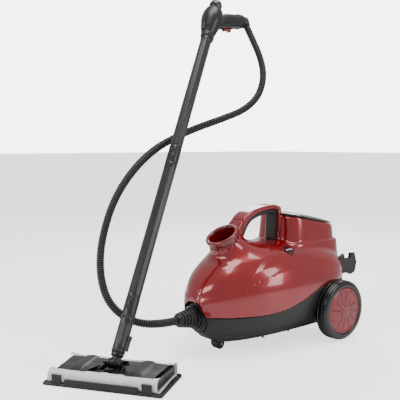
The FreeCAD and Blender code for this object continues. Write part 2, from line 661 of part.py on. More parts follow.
def make_wheels():
    reach = WHEEL_Y + mm.wheel_width - mm.disc_depth - 2
    axle = rod("Axle", "axle_radius", "%s" % (2 * reach), towards((mm.axle_x, -reach, mm.wheel_radius), Y))
    keep("rear_axle", axle, CANISTER)
    bore = "axle_radius + wheel_bore_clearance"
    seat = "wheel_width - disc_depth"
    for side, sign in (("left", 1), ("right", -1)):
        place = CANISTER.multiply(towards((mm.axle_x, sign * WHEEL_Y, mm.wheel_radius), Y * sign))
        tyre = turned("Tyre", [
            (bore, "0"), (bore + " + 10", "0"), (bore + " + 10", "8"), ("wheel_radius - 15", "8"),
            ("wheel_radius - 15", "0"), ("wheel_radius - 4", "0"), ("wheel_radius", "4"),
            ("wheel_radius", "wheel_width - 4"), ("wheel_radius - 4", "wheel_width"),
            ("disc_radius + 0.2", "wheel_width"), ("disc_radius + 0.2", seat), (bore, seat)])
        keep("tyre_" + side, tyre, place)
        disc = turned("Disc", [
            ("0", seat), ("disc_radius", seat), ("disc_radius", "wheel_width - 1"),
            ("disc_radius - 4", "wheel_width + 1.5"), ("disc_radius - 14", "wheel_width - 1"),
            ("0.2 * disc_radius", "wheel_width + 2"), ("0", "wheel_width + 2.5")])
        keep("wheel_disc_" + side, disc, place)

    top = 2 * mm.roller_radius + 3.5
    crown = rod("ForkCrown", "caster_trail + 8", "3", at(mm.caster_trail, 0, top))
    stem = rod("Stem", "stem_radius", "stem_length", at(mm.caster_trail, 0, top))
    cheeks = [box("Cheek", "16", "fork_thickness", "roller_radius + 9",
                  at(3, side * (mm.roller_width / 2 + 0.5 + mm.fork_thickness / 2), mm.roller_radius - 5))
              for side in (-1, 1)]
    length = mm.roller_width + 1 + 2 * mm.fork_thickness
    start = (0, -length / 2, mm.roller_radius)
    hole = rod("PinHole", "caster_pin_radius", "roller_width + 1 + 2 * fork_thickness", towards(start, Y))
    keep("caster_fork", cut("Fork", fuse("ForkBody", crown, stem, *cheeks), hole), CANISTER)
    pin = rod("CasterPin", "caster_pin_radius", "roller_width + 1 + 2 * fork_thickness", towards(start, Y))
    keep("caster_pin", pin, CANISTER)
    roller = turned("Roller", [
        ("caster_pin_radius + 0.06", "0"), ("roller_radius - 2", "0"), ("roller_radius", "2"),
        ("roller_radius", "roller_width - 2"), ("roller_radius - 2", "roller_width"),
        ("caster_pin_radius + 0.06", "roller_width")])
    keep("caster_roller", roller, CANISTER.multiply(towards((0, -mm.roller_width / 2, mm.roller_radius), Y)))


# ---------------------------------------------------------------- wand

def stadium(extra, start, end, z):
    """A rounded slot's solid that points along local X."""
    half = mm.button_width / 2 + extra
    run = mm.button_length / 2 - mm.button_width / 2
    middle = Part.makeBox(end - start, 2 * half, 2 * run, Vector(start, -half, z - run))
    low = Part.makeCylinder(half, end - start, Vector(start, 0, z - run), X)
    high = Part.makeCylinder(half, end - start, Vector(start, 0, z + run), X)
    return middle.fuse([low, high])


def tube(name, length, socket_hole):
    profile = [("tube_bore", "0"), ("tube_radius", "0"), ("tube_radius", length), ("spigot_radius", length),
               ("spigot_radius", length + " + spigot_length"), ("spigot_bore", length + " + spigot_length"),
               ("spigot_bore", length + " - 10"), ("tube_bore", length + " - 10")]
    body = turned(name, profile)
    gap = mm.button_gap
    holes = []
    if socket_hole:
        holes.append(raw(name + "Window", stadium(gap, mm.tube_bore - 3, 40, mm.button_above_joint)))
    if name != "UpperTube":
        above = number(length) + mm.button_above_joint
        holes.append(raw(name + "Slot", stadium(gap, 3, 40, above)))
    return cut(name + "Cut", body, *holes) if holes else body


def make_wand():
    lower = WAND.multiply(at(0, 0, joint_low))
    upper = WAND.multiply(at(0, 0, joint_mid))
    keep("lower_tube", tube("LowerTube", "tube_length", True), lower)
    keep("upper_tube", tube("UpperTube", "tube_length", True), upper)
    for name, place in (("lower_tube_button", lower), ("upper_tube_button", upper)):
        button = plate(name + "_body", rectangle("button_length", "button_width"),
                       "tube_radius + button_rise - spigot_bore - 1.2", "button_width / 2 - 0.1")
        keep(name, button, place.multiply(towards((mm.spigot_bore + 1.2, 0, mm.button_above_joint), X)))

    length = "adapter_end - adapter_start"
    adapter = tube("Adapter", length, False)
    middle = mm.latch_length / 2 + 6
    window = box("LatchWindow", "latch_width + 2 * button_gap", "12", "latch_length + 2 * button_gap",
                 at(0, mm.tube_bore + 4.5, middle - mm.latch_length / 2 - mm.button_gap))
    place = WAND.multiply(at(0, 0, mm.adapter_start))
    keep("adapter_tube", cut("AdapterCut", adapter, window), place)
    outer_face, inner_face = mm.tube_radius + mm.latch_rise, mm.tube_bore + 1.9
    latch = box("Latch", "latch_width", "%s" % (outer_face - inner_face), "latch_length",
                at(0, (outer_face + inner_face) / 2, middle - mm.latch_length / 2))
    keep("adapter_latch", latch, place)

    barrel = rod("NeckBarrel", "knuckle_radius", "knuckle_width", towards((0, -mm.knuckle_width / 2, 0), Y))
    stalk = rod("NeckStalk", "knuckle_width / 2 - 0.2", "adapter_start", at())
    collar = rod("NeckCollar", "tube_radius - 1.5", "adapter_start - 13", at(0, 0, 13))
    spigot = rod("NeckSpigot", "tube_bore - 0.05", "spigot_length - 5", at(0, 0, mm.adapter_start))
    across = towards((0, -mm.knuckle_width / 2, 0), Y)
    bore = rod("NeckBore", "pitch_pin_radius + 0.06", "knuckle_width", across)
    steam = rod("NeckSteam", "5", "adapter_start + spigot_length", at(0, 0, mm.knuckle_radius + 1))
    keep("neck", cut("Neck", fuse("NeckBody", barrel, stalk, collar, spigot), bore, steam), WAND)


# ---------------------------------------------------------------- gun

def gun_barrel(inset, start):
    """The gun's barrel, turned about its axis; the belly sits at the grip."""
    full, rim, top = mm.gun_radius - inset, mm.gun_rim_radius - inset, mm.gun_top_radius - inset
    high = mm.gun_length - inset
    curve = Part.BSplineCurve()
    curve.interpolate([Vector(rim, 0, 0), Vector(rim + 1.5, 0, 14), Vector(rim + 0.6 * (full - rim), 0, 34),
                       Vector(full, 0, 62), Vector(full - 1.5, 0, 78), Vector(top, 0, high)])
    edges = [curve.toShape(), Part.LineSegment(Vector(top, 0, high), Vector(0, 0, high)).toShape(),
             Part.LineSegment(Vector(0, 0, high), Vector(0, 0, 0)).toShape(),
             Part.LineSegment(Vector(0, 0, 0), Vector(rim, 0, 0)).toShape()]
    solid = Part.Face(Part.Wire(edges)).revolve(Vector(), Z, 360)
    if start > 0:
        solid = solid.cut(Part.makeBox(200, 200, start + 100, Vector(-100, -100, -100)))
    return solid


def gun_grip(inset, end):
    radius = mm.grip_radius - inset
    handle = Part.makeCylinder(radius, end - inset, Vector(), Z)
    handle.Placement = at(0, 0, mm.button_above_joint + mm.grip_start, -mm.grip_angle, Y)
    return handle


def in_grip(shape):
    shape.Placement = at(0, 0, mm.button_above_joint + mm.grip_start, -mm.grip_angle, Y)
    return shape


def make_gun():
    outer = gun_barrel(0, 0).fuse(gun_grip(0, mm.grip_length))
    inner = gun_barrel(mm.gun_wall, mm.spigot_length + 6).fuse(gun_grip(mm.gun_wall, mm.grip_length))
    inner = inner.cut(Part.makeBox(200, 200, mm.spigot_length + 106, Vector(-100, -100, -100)))
    shell = outer.cut(inner).cut(Part.makeCylinder(mm.tube_bore, mm.spigot_length + 6, Vector(), Z))
    shell = shell.cut(stadium(mm.button_gap, mm.tube_bore + 1, 60, mm.button_above_joint))
    shell = shell.cut(Part.makeCylinder(6.06, 20, Vector(0, 0, mm.gun_length - 15), Z))
    slot = in_grip(Part.makeBox(24, 11, 34, Vector(-mm.grip_radius - 12, -5.5, mm.gun_radius + 6)))
    shell = shell.cut(slot)
    pivot = (-mm.grip_radius + 6, mm.gun_radius + 11)
    pin_start = Vector(pivot[0], -mm.grip_radius + 6, pivot[1])
    pin_hole = in_grip(Part.makeCylinder(2, 2 * mm.grip_radius - 12, pin_start, Y))
    ends = in_grip(Part.makeCylinder(10, 20, Vector(0, 0, mm.grip_length - 10), Z))
    shell = shell.cut(pin_hole).cut(ends)
    for name, side in (("gun_shell_left", 1), ("gun_shell_right", -1)):
        half = Part.makeBox(400, 200, 400, Vector(-200, 0 if side > 0 else -200, -200))
        keep(name, raw(name + "_body", largest(shell.common(half))), GUN)

    rise = mm.gun_radius - 4.5
    button = plate("GunButton", rectangle("button_length", "button_width"), "%s" % (rise - mm.tube_bore - 4),
                   "button_width / 2 - 0.1")
    keep("gun_release_button", button, GUN.multiply(towards((mm.tube_bore + 4, 0, mm.button_above_joint), X)))

    lever = Part.makeBox(17, 10, 28, Vector(-mm.grip_radius - 6, -5, mm.gun_radius + 8))
    toe = Part.makeBox(5, 10, 10, Vector(-mm.grip_radius - 9, -5, mm.gun_radius + 26))
    bore = Part.makeCylinder(2.06, 20, Vector(pivot[0], -10, pivot[1]), Y)
    keep("steam_trigger", raw("Trigger", lever.fuse(toe).cut(bore)), GRIP)
    width = 2 * mm.grip_radius - 18
    pin = rod("TriggerPin", "2", "%s" % width, towards((pivot[0], -width / 2, pivot[1]), Y))
    keep("trigger_pin", pin, GRIP)

    centre = mm.gun_length + mm.dial_radius - mm.dial_sink
    ball = bind(doc.addObject("Part::Sphere", "DialBall"), Radius="dial_radius")
    ball.Placement = at(0, 0, centre)
    cap_z = centre + 0.62 * mm.dial_radius
    trim = box("DialTrim", "200", "200", "100", at(0, 0, mm.gun_length + 0.4 - 100))
    crop = box("DialCrop", "200", "200", "100", at(0, 0, cap_z))
    stem = rod("DialStem", "6", "12", at(0, 0, mm.gun_length - 8))
    keep("steam_dial", fuse("Dial", cut("DialBody", ball, trim, crop), stem), GUN)
    ball = bind(doc.addObject("Part::Sphere", "CapBall"), Radius="dial_radius")
    ball.Placement = at(0, 0, centre)
    keep("dial_cap", common("DialCap", ball, box("CapCrop", "200", "200", "100", at(0, 0, cap_z))), GUN)

    collar = turned("Collar", [("6", "-9"), ("9.9", "-9"), ("9.9", "0"), ("grip_radius - 2", "0"),
                               ("grip_radius - 2", "collar_length - 3"), ("grip_radius - 6", "collar_length"),
                               ("6", "collar_length")])
    keep("hose_swivel", collar, GRIP.multiply(at(0, 0, mm.grip_length)))


# ---------------------------------------------------------------- floor head

def make_head():
    plate_top = "pitch_rise - knuckle_radius - 0.5"
    inner = "(knuckle_width / 2 + 0.4)"
    bed = box("YokeBed", "41", "2 * %s + 2 * cheek_thickness" % inner, plate_top + " + 6", at(0, 0, -6))
    parts = [bed]
    for side in (-1, 1):
        middle = side * (number(inner) + mm.cheek_thickness / 2)
        parts.append(box("YokeCheek", "2 * knuckle_radius", "cheek_thickness", "pitch_rise", at(0, middle, 0)))
        start = (0, middle - mm.cheek_thickness / 2, mm.pitch_rise)
        parts.append(rod("YokeEye", "knuckle_radius", "cheek_thickness", towards(start, Y)))
        parts.append(rod("Trunnion", "trunnion_radius", "12", towards((side * 20, 0, 0), X * side)))
    width = 2 * number(inner) + 2 * mm.cheek_thickness
    eye = rod("PinEye", "pitch_pin_radius", "%s" % width, towards((0, -width / 2, mm.pitch_rise), Y))
    keep("swivel_yoke", cut("Yoke", fuse("YokeBody", *parts), eye), YOKE)
    pin = rod("PitchPin", "pitch_pin_radius", "%s" % width, towards((0, -width / 2, mm.pitch_rise), Y))
    keep("pitch_pin", pin, YOKE)

    floor = mm.frame_wall + 0.2
    under = floor + mm.cloth_thickness + 0.1
    half = mm.frame_depth / 2 - mm.frame_wall - 3 - mm.cloth_thickness
    main = box("HeadBlock", "%s" % (2 * half), "body_length", "body_top - %s" % under, at(0, 0, under))
    well = box("YokeWell", "43", "46", "60", at(mm.roll_x, 0, under + 2))
    pieces = [cut("HeadWell", main, well)]
    for side in (-1, 1):
        pieces.append(box("Bearing", "10.5", "18", "roll_z + 8 - %s" % under,
                          at(mm.roll_x + side * 26.75, 0, under)))
        for end in (-1, 1):
            pieces.append(box("PinPost", "6", "5", "flap_z - body_top",
                              at(side * 13, end * (mm.flap_inner + 4), mm.body_top - 0.3)))
    bores = [rod("TrunnionBore", "trunnion_radius + 0.06", "70", towards((mm.roll_x - 35, 0, mm.roll_z), X))]
    pins = []
    for end in (-1, 1):
        spot = (-16, end * (mm.flap_inner + 4), mm.flap_z - 2)
        bores.append(rod("PinHole", "flap_pin_radius", "32", towards(spot, X)))
        pins.append(rod("FlapPin", "flap_pin_radius", "32", towards(spot, X)))
    keep("head_body", cut("HeadBody", fuse("HeadSolid", *pieces), *bores), HEAD)
    keep("flap_pins", fuse("FlapPins", *pins), HEAD)

    wrap = "%s" % (2 * half + 2 * mm.cloth_thickness)
    top = mm.flap_z - 0.6
    cover = box("ClothOuter", wrap, "cloth_length", "%s" % (top - floor), at(0, 0, floor))
    hollow = box("ClothInner", "%s" % (2 * half + 0.2), "cloth_length + 10", "body_top + 0.3 - %s" % under,
                 at(0, 0, under - 0.1))
    slit = box("ClothSlit", "60", "cloth_length + 10", "40", at(0, 0, mm.body_top - 5))
    notch = box("ClothNotch", "%s" % (2 * half - 8), "68", "40", at(0, 0, mm.body_top - 5))
    keep("mop_cloth", cut("Cloth", cover, hollow, slit, notch), HEAD)

    rim = box("FrameRim", "frame_depth", "frame_length", "frame_lip", at())
    inside = box("FrameInside", "frame_depth - 2 * frame_wall", "frame_length - 2 * frame_wall", "40",
                 at(0, 0, mm.frame_wall))
    tools = [inside]
    for column in (-1.5, -0.5, 0.5, 1.5):
        tools.append(box("Window", "frame_depth - 28", "frame_length / 4 - 10", "20",
                         at(0, column * (mm.frame_length / 4 - 2), -5)))
    walls = []
    for side in (-1, 1):
        x = side * (mm.frame_depth - mm.frame_wall) / 2
        walls.append(box("FrameFace", "frame_wall", "2 * 85", "frame_face", at(x, 0, 0)))
        for end in (-1, 1):
            walls.append(box("FrameTab", "frame_wall", "tab_width", "tab_height", at(x, end * 100, 0)))
    keep("glide_frame", fuse("Frame", cut("FrameTray", rim, *tools), *walls), HEAD)

    for name, side in (("flap_left", 1), ("flap_right", -1)):
        span = mm.flap_outer - mm.flap_inner
        middle = side * (mm.flap_outer + mm.flap_inner) / 2
        front = (mm.flap_front + mm.flap_rear) / 2
        deck = box("Deck", "flap_front - flap_rear", "flap_outer - flap_inner", "flap_thickness",
                   at(front, middle, mm.flap_z))
        ridge = box("Ridge", "flap_front - flap_rear", "22", "flap_thickness + 1.5", at(front, middle, mm.flap_z))
        spot = side * (mm.flap_inner + 4)
        eye = rod("FlapEye", "flap_pin_radius + 1.5", "18", towards((-9, spot, mm.flap_z - 2), X))
        web = box("FlapWeb", "18", "3", "3", at(0, spot, mm.flap_z - 2))
        gaps = [box("FlapGap", "7.4", "12", "20", at(x, side * (mm.flap_inner + 3), mm.flap_z - 10))
                for x in (-13.1, 13.1)]
        bore = rod("FlapBore", "flap_pin_radius + 0.06", "40", towards((-20, spot, mm.flap_z - 2), X))
        keep(name, cut("Flap", fuse("FlapBody", deck, ridge, eye, web), bore, *gaps), HEAD)


# ---------------------------------------------------------------- steam hose

HOSE = [(128, 0, 90), (186, 0, 90), (238, -27, 103), (268, -64, 139), (268, -98, 190), (256, -119, 247),
        (237, -127, 305), (213, -128, 361), (178, -128, 411), (134, -130, 453), (82, -139, 485), (25, -151, 507),
        (-33, -156, 528), (-91, -150, 547), (-148, -138, 566), (-204, -124, 588), (-250, -118, 627),
        (-277, -127, 680), (-284, -147, 732), (-278, -170, 780), (-276, -197, 826)]


def make_hose():
    """A round tube along straight runs joined by tangent arcs, as wide as the runs allow."""
    points = [Vector(*p) for p in HOSE]
    edges = []
    radii = []
    last = points[0]
    for before, corner, after in zip(points, points[1:], points[2:]):
        back = (before - corner)
        ahead = (after - corner)
        shorter = min(back.Length, ahead.Length)
        back.normalize()
        ahead.normalize()
        turn = math.pi - back.getAngle(ahead)
        setback = 0.45 * shorter
        radii.append(setback / math.tan(turn / 2))
        start = corner + back * setback
        end = corner + ahead * setback
        bisector = (back + ahead).normalize()
        middle = corner + bisector * (radii[-1] / math.cos(turn / 2) - radii[-1])
        edges.append(Part.LineSegment(last, start).toShape())
        edges.append(Part.Arc(start, middle, end).toShape())
        last = end
    edges.append(Part.LineSegment(last, points[-1]).toShape())
    path = Part.Wire(edges)
    ring = Part.Wire([Part.makeCircle(mm.hose_radius, points[0], points[1] - points[0])])
    shape = path.makePipeShell([ring], True, False)
    print("hose bend radii", [round(radius) for radius in radii])
    section = math.pi * mm.hose_radius ** 2
    print("hose volume", round(shape.Volume), "section x length", round(section * path.Length))
    print("hose length", round(path.Length))
    keep("steam_hose", raw("Hose", shape), CANISTER)

    elbow = CANISTER.inverse().multiply(GRIP).multVec(Vector(0, 0, mm.grip_length + mm.collar_length + mm.elbow_rise))
    exit_point = points[-1]
    aim = exit_point - elbow
    print("elbow", elbow, "aim", Vector(aim).normalize(), "last run", (points[-2] - points[-1]).normalize())
    ball = Part.makeSphere(mm.elbow_radius, elbow)
    sleeve = Part.makeCone(mm.elbow_radius, mm.hose_radius + 1.5, aim.Length, elbow, aim)
    sleeve = sleeve.fuse(ball)
    room = Part.makeCylinder(200, 200, Vector(0, 0, mm.grip_length + mm.collar_length - 200), Z)
    room.Placement = CANISTER.inverse().multiply(GRIP)
    hose_room = Part.makeCylinder(60, 60, exit_point, points[-2] - exit_point)
    keep("hose_strain_relief", raw("Relief", largest(sleeve.cut([room, hose_room]))), CANISTER)


make_canister()
make_wheels()
make_wand()
make_gun()
make_head()
make_hose()
doc.removeObject("Probe")
doc.recompute()


def check_and_write():
    for thing in doc.Objects:
        if "Invalid" in thing.State or "Error" in thing.State:
            raise RuntimeError("%s failed: %s" % (thing.Name, thing.State))
    for node in nodes:
        if node.Shape.isNull() or not node.Shape.isValid():
            raise RuntimeError("%s has no valid shape" % node.Label)
    os.makedirs("parts", exist_ok=True)
    total = None
    for node in nodes:
        node.Shape.exportStep("parts/%s.step" % node.Label)
        if node.Label != "steam_hose":
            total = total.united(node.Shape.BoundBox) if total else node.Shape.BoundBox
    print(len(nodes), "nodes; floor", total.ZMin)
    print("box centre without the hose", total.Center.x, total.Center.y)
    print("size without the hose", total.XLength, total.YLength, total.ZLength)


check_and_write()
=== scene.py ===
import json
import math

import bpy
import numpy as np
from mathutils import Matrix, Vector


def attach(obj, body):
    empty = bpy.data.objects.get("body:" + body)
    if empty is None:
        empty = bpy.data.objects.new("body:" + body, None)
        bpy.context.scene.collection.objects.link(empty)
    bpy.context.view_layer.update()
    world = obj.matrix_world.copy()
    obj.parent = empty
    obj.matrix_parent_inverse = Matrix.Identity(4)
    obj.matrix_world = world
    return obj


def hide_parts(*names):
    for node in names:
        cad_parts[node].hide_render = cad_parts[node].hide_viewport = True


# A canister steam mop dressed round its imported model. Places are millimetres in the frame of the assembly
# that a piece belongs to: the canister, its funnel, the wand, the gun, its grip, the yoke or the head.

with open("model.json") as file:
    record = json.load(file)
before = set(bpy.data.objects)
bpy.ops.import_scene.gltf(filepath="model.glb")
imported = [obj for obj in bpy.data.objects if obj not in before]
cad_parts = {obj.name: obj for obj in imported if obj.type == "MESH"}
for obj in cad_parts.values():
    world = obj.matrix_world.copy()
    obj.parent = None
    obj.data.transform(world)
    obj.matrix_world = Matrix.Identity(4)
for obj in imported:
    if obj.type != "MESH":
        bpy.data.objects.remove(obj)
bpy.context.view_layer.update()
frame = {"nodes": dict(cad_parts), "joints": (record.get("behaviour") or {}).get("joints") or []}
JOINTS = {joint["name"]: joint for joint in frame["joints"]}
MM = 0.001


# ---------------------------------------------------------------- frames from the joints

def axes_at(origin, along_x, along_z):
    """A frame in metres from its origin, its Z direction and the side that X points to."""
    z = Vector(along_z).normalized()
    y = z.cross(Vector(along_x)).normalized()
    x = y.cross(z)
    place = Matrix((x, y, z)).transposed().to_4x4()
    place.translation = Vector(origin)
    return place


def moved(place, x=0, y=0, z=0):
    return place @ Matrix.Translation(Vector((x, y, z)) * MM)


def turned(place, degrees, axis):
    return place @ Matrix.Rotation(math.radians(degrees), 4, axis)


def point(place, x=0, y=0, z=0):
    return place @ (Vector((x, y, z)) * MM)


def joint_at(name):
    return Vector(JOINTS[name]["pos_m"])


def joint_along(name):
    return Vector(JOINTS[name]["axis"])


WHEEL_R, TUBE_LENGTH, ADAPTER_END = 75.5, 386.7, 100.0
caster = joint_at("caster_roll")
CANISTER = Matrix.Translation((caster.x, caster.y, 0))
FUNNEL = moved(axes_at(joint_at("cap_turn"), (1, 0, 0), joint_along("cap_turn")), z=40)
HEAD = moved(axes_at(joint_at("head_roll"), joint_along("head_roll"), (0, 0, 1)), 6.9, 0, -24)
YOKE = axes_at(joint_at("head_roll"), joint_along("head_roll"),
               joint_along("head_roll").cross(joint_along("head_pitch")))
WAND = axes_at(joint_at("head_pitch"), -joint_along("lower_button_press"), joint_along("dial_turn"))
GUN = axes_at(point(WAND, z=ADAPTER_END + 2 * TUBE_LENGTH), -joint_along("gun_button_press"),
              joint_along("dial_turn"))
GRIP_RISE, GRIP_ANGLE = 57, 52.64
GRIP = turned(moved(GUN, z=GRIP_RISE), -GRIP_ANGLE, "Y")


# ---------------------------------------------------------------- camera, floor and light

def aim_camera():
    right = Vector((-0.77195, 0.63567, 0.0))
    ahead = Vector((-0.63331, -0.76908, -0.08622))
    camera = bpy.data.objects.new("camera", bpy.data.cameras.new("camera"))
    camera.data.lens = 58.5
    camera.data.sensor_width = 36
    camera.matrix_world = axes_at((1.0078, 1.19348, 0.4957), right, -ahead)
    bpy.context.collection.objects.link(camera)
    bpy.context.scene.camera = camera


def soft_light(name, place, target, size, power, colour=(1, 1, 1)):
    lamp = bpy.data.lights.new(name, "AREA")
    lamp.shape = "RECTANGLE"
    lamp.size, lamp.size_y = size
    lamp.energy = power
    lamp.color = colour
    holder = bpy.data.objects.new(name, lamp)
    holder.matrix_world = axes_at(place, (1, 0.01, 0), Vector(place) - Vector(target))
    bpy.context.collection.objects.link(holder)


def light_room():
    world = bpy.data.worlds.new("pale_room")
    bpy.context.scene.world = world
    world.use_nodes = True
    tree = world.node_tree
    back = tree.nodes["Background"]
    back.inputs["Color"].default_value = (1, 1, 1, 1)
    seen = tree.nodes.new("ShaderNodeLightPath").outputs["Is Camera Ray"]
    tree.links.new(stretched(tree, seen, 0, 1, ROOM_GLOW, BACKDROP_GLOW), back.inputs["Strength"])
    soft_light("ceiling_panel", (-0.1, 0.2, 2.3), (-0.1, 0, 0.1), (1.6, 1.0), 34)
    soft_light("tall_panel_left", (1.7, -0.3, 1.0), (-0.1, 0, 0.25), (0.5, 1.5), 16)
    soft_light("tall_panel_right", (-0.9, 1.8, 1.0), (-0.2, 0, 0.2), (0.5, 1.4), 14)
    soft_light("back_panel", (-1.5, -1.3, 1.3), (-0.1, 0, 0.3), (1.2, 0.8), 16)


# ---------------------------------------------------------------- fields and meshing

def smooth_union(a, b, k):
    share = np.clip(0.5 + 0.5 * (b - a) / k, 0, 1)
    return b + (a - b) * share - k * share * (1 - share)


def smooth_both(a, b, k):
    """What lies in both fields, with its edge rounded over about k."""
    return -smooth_union(-a, -b, k)


def block_field(x, y, z, centre, half, edge=2.0):
    """A box with rounded edges."""
    qx = np.abs(x - centre[0]) - half[0] + edge
    qy = np.abs(y - centre[1]) - half[1] + edge
    qz = np.abs(z - centre[2]) - half[2] + edge
    outside = np.sqrt(np.maximum(qx, 0) ** 2 + np.maximum(qy, 0) ** 2 + np.maximum(qz, 0) ** 2)
    return outside + np.minimum(np.maximum(qx, np.maximum(qy, qz)), 0) - edge


def rod_field(across, along, radius, start, end, edge=1.0):
    """A rod from its distance off the axis and its place along it."""
    side = across - radius
    ends = np.abs(along - (start + end) / 2) - (end - start) / 2
    return smooth_both(side, ends, edge)


def outline_field(u, v, corners):
    """Distance to a closed outline in a plane, negative inside it."""
    corners = np.asarray(corners, float)
    nearest = np.full(u.shape, 1e9)
    inside = np.zeros(u.shape, bool)
    for a, b in zip(corners, np.roll(corners, -1, 0)):
        run = b - a
        t = np.clip(((u - a[0]) * run[0] + (v - a[1]) * run[1]) / max(run @ run, 1e-9), 0, 1)
        nearest = np.minimum(nearest, (u - a[0] - t * run[0]) ** 2 + (v - a[1] - t * run[1]) ** 2)
        spans = (a[1] > v) != (b[1] > v)
        crossing = a[0] + (v - a[1]) * run[0] / (run[1] if abs(run[1]) > 1e-9 else 1e-9)
        inside ^= spans & (u < crossing)
    return np.sqrt(nearest) * np.where(inside, -1, 1)


def smooth_corners(points, rounds=2):
    """Rounds an open line by cutting its corners again and again."""
    line = np.asarray(points, float)
    for _ in range(rounds):
        near = 0.75 * line[:-1] + 0.25 * line[1:]
        far = 0.25 * line[:-1] + 0.75 * line[1:]
        middle = np.stack((near, far), 1).reshape(-1, line.shape[1])
        line = np.vstack((line[:1], middle, line[-1:]))
    return line


def true_distance(field, step=1.0):
    """The field divided by its slope, so that it is close to a distance in millimetres."""
    def measured(x, y, z):
        value = field(x, y, z)
        slope = np.zeros_like(value)
        for shift in ((step, 0, 0), (0, step, 0), (0, 0, step)):
            slope += ((field(x + shift[0], y + shift[1], z + shift[2]) - value) / step) ** 2
        return value / np.sqrt(np.maximum(slope, 0.04))
    return measured


def surface_of(field, low, high, cell, rounds=2):
    """Quads on the surface where a field is zero: one vertex for each cell that it crosses."""
    axes = [np.arange(a - 1.5 * cell, b + 2.5 * cell, cell) for a, b in zip(low, high)]
    value = field(*np.meshgrid(*axes, indexing="ij")).astype(np.float32)
    inside = value < 0
    size = np.array(value.shape) - 1
    corners = [np.array((a, b, c)) for a in (0, 1) for b in (0, 1) for c in (0, 1)]
    count = np.zeros(size, np.int8)
    for c in corners:
        count += inside[c[0]:c[0] + size[0], c[1]:c[1] + size[1], c[2]:c[2] + size[2]]
    mixed = np.argwhere((count > 0) & (count < 8))
    index = np.full(size, -1, np.int64)
    index[tuple(mixed.T)] = np.arange(len(mixed))
    total = np.zeros((len(mixed), 3))
    hits = np.zeros(len(mixed))
    for start in corners:
        for axis in range(3):
            if start[axis]:
                continue
            end = start.copy()
            end[axis] = 1
            a = value[tuple((mixed + start).T)]
            b = value[tuple((mixed + end).T)]
            crossed = (a < 0) != (b < 0)
            share = np.where(crossed, a / np.where(crossed, a - b, 1), 0)
            total += crossed[:, None] * (start + share[:, None] * (end - start))
            hits += crossed
    origin = np.array([axis[0] for axis in axes])
    points = origin + cell * (mixed + total / hits[:, None])
    faces = []
    for axis in range(3):
        u, v = (axis + 1) % 3, (axis + 2) % 3
        first = [slice(None)] * 3
        second = [slice(None)] * 3
        first[axis], second[axis] = slice(0, -1), slice(1, None)
        edges = np.argwhere(inside[tuple(first)] != inside[tuple(second)])
        within = (edges[:, u] > 0) & (edges[:, v] > 0) & (edges[:, u] < size[u]) & (edges[:, v] < size[v])
        edges = edges[within]
        ring = []
        for du, dv in ((1, 1), (0, 1), (0, 0), (1, 0)):
            cellwise = edges.copy()
            cellwise[:, u] -= du
            cellwise[:, v] -= dv
            ring.append(index[tuple(cellwise.T)])
        quads = np.stack(ring, 1)
        outward = inside[tuple(edges.T)]
        quads[~outward] = quads[~outward][:, ::-1]
        faces.append(quads)
    faces = np.vstack(faces)
    for _ in range(rounds):
        x, y, z = points.T
        here = field(x, y, z)
        step = 0.05 * cell
        slope = np.stack([(field(x + step, y, z) - field(x - step, y, z)),
                          (field(x, y + step, z) - field(x, y - step, z)),
                          (field(x, y, z + step) - field(x, y, z - step))], 1) / (2 * step)
        steep = np.maximum((slope ** 2).sum(1), 0.05)
        push = -here[:, None] * slope / steep[:, None]
        reach = np.linalg.norm(push, axis=1, keepdims=True)
        points = points + push * np.minimum(1, 0.4 * cell / np.maximum(reach, 1e-9))
    return points, faces


def softened(profile, bevel, steps=4):
    """Rounds the corners of an open profile of radius and height."""
    line = [np.asarray(p, float) for p in profile]
    rounded = [line[0]]
    for before, corner, after in zip(line, line[1:], line[2:]):
        back, ahead = before - corner, after - corner
        cut = min(bevel, 0.45 * np.linalg.norm(back), 0.45 * np.linalg.norm(ahead))
        start = corner + back * cut / max(np.linalg.norm(back), 1e-9)
        end = corner + ahead * cut / max(np.linalg.norm(ahead), 1e-9)
        for t in np.linspace(0, 1, steps):
            rounded.append((1 - t) ** 2 * start + 2 * t * (1 - t) * corner + t ** 2 * end)
    rounded.append(line[-1])
    return np.array(rounded)


def ring_skin(rings, closed):
    """Quads between rings of equal count; a closed skin joins the last ring to the first."""
    rings = np.asarray(rings)
    count, around = rings.shape[:2]
    row = np.arange(around)
    faces = []
    for k in range(count if closed else count - 1):
        a, b = k * around, ((k + 1) % count) * around
        faces.append(np.stack((a + row, a + (row + 1) % around, b + (row + 1) % around, b + row), 1))
    return rings.reshape(-1, 3), np.vstack(faces)


def lathe(profile, segments=96, closed=True, shape=None):
    """A turned skin. shape(angle, radius, height) gives radius and height where it isn't round."""
    angle = np.linspace(0, 2 * math.pi, segments, endpoint=False)
    rings = []
    for radius, height in profile:
        r, h = np.full(segments, float(radius)), np.full(segments, float(height))
        if shape:
            r, h = shape(angle, r, h)
        rings.append(np.stack((r * np.cos(angle), r * np.sin(angle), h), 1))
    return ring_skin(rings, closed)


def piece(name, skin, place, material, body, stands_for=(), crisp=None):
    """Adds a skin in millimetres as a piece that rides on a body and stands for its nodes."""
    points, faces = skin
    mesh = bpy.data.meshes.new(name)
    mesh.from_pydata((np.asarray(points) * MM).tolist(), [], np.asarray(faces).tolist())
    mesh.transform(place)
    mesh.update()
    mesh.shade_smooth()
    if crisp:
        mesh.set_sharp_from_angle(angle=math.radians(crisp))
    mesh.materials.append(material)
    thing = bpy.data.objects.new(name, mesh)
    bpy.context.collection.objects.link(thing)
    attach(thing, body)
    if stands_for:
        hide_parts(*stands_for)
    return thing


# ---------------------------------------------------------------- finishes

def linear(red, green, blue):
    """Screen values from 0 to 255 as the linear colour that a shader takes."""
    values = [c / 255 for c in (red, green, blue)]
    return tuple(c / 12.92 if c < 0.04045 else ((c + 0.055) / 1.055) ** 2.4 for c in values) + (1,)


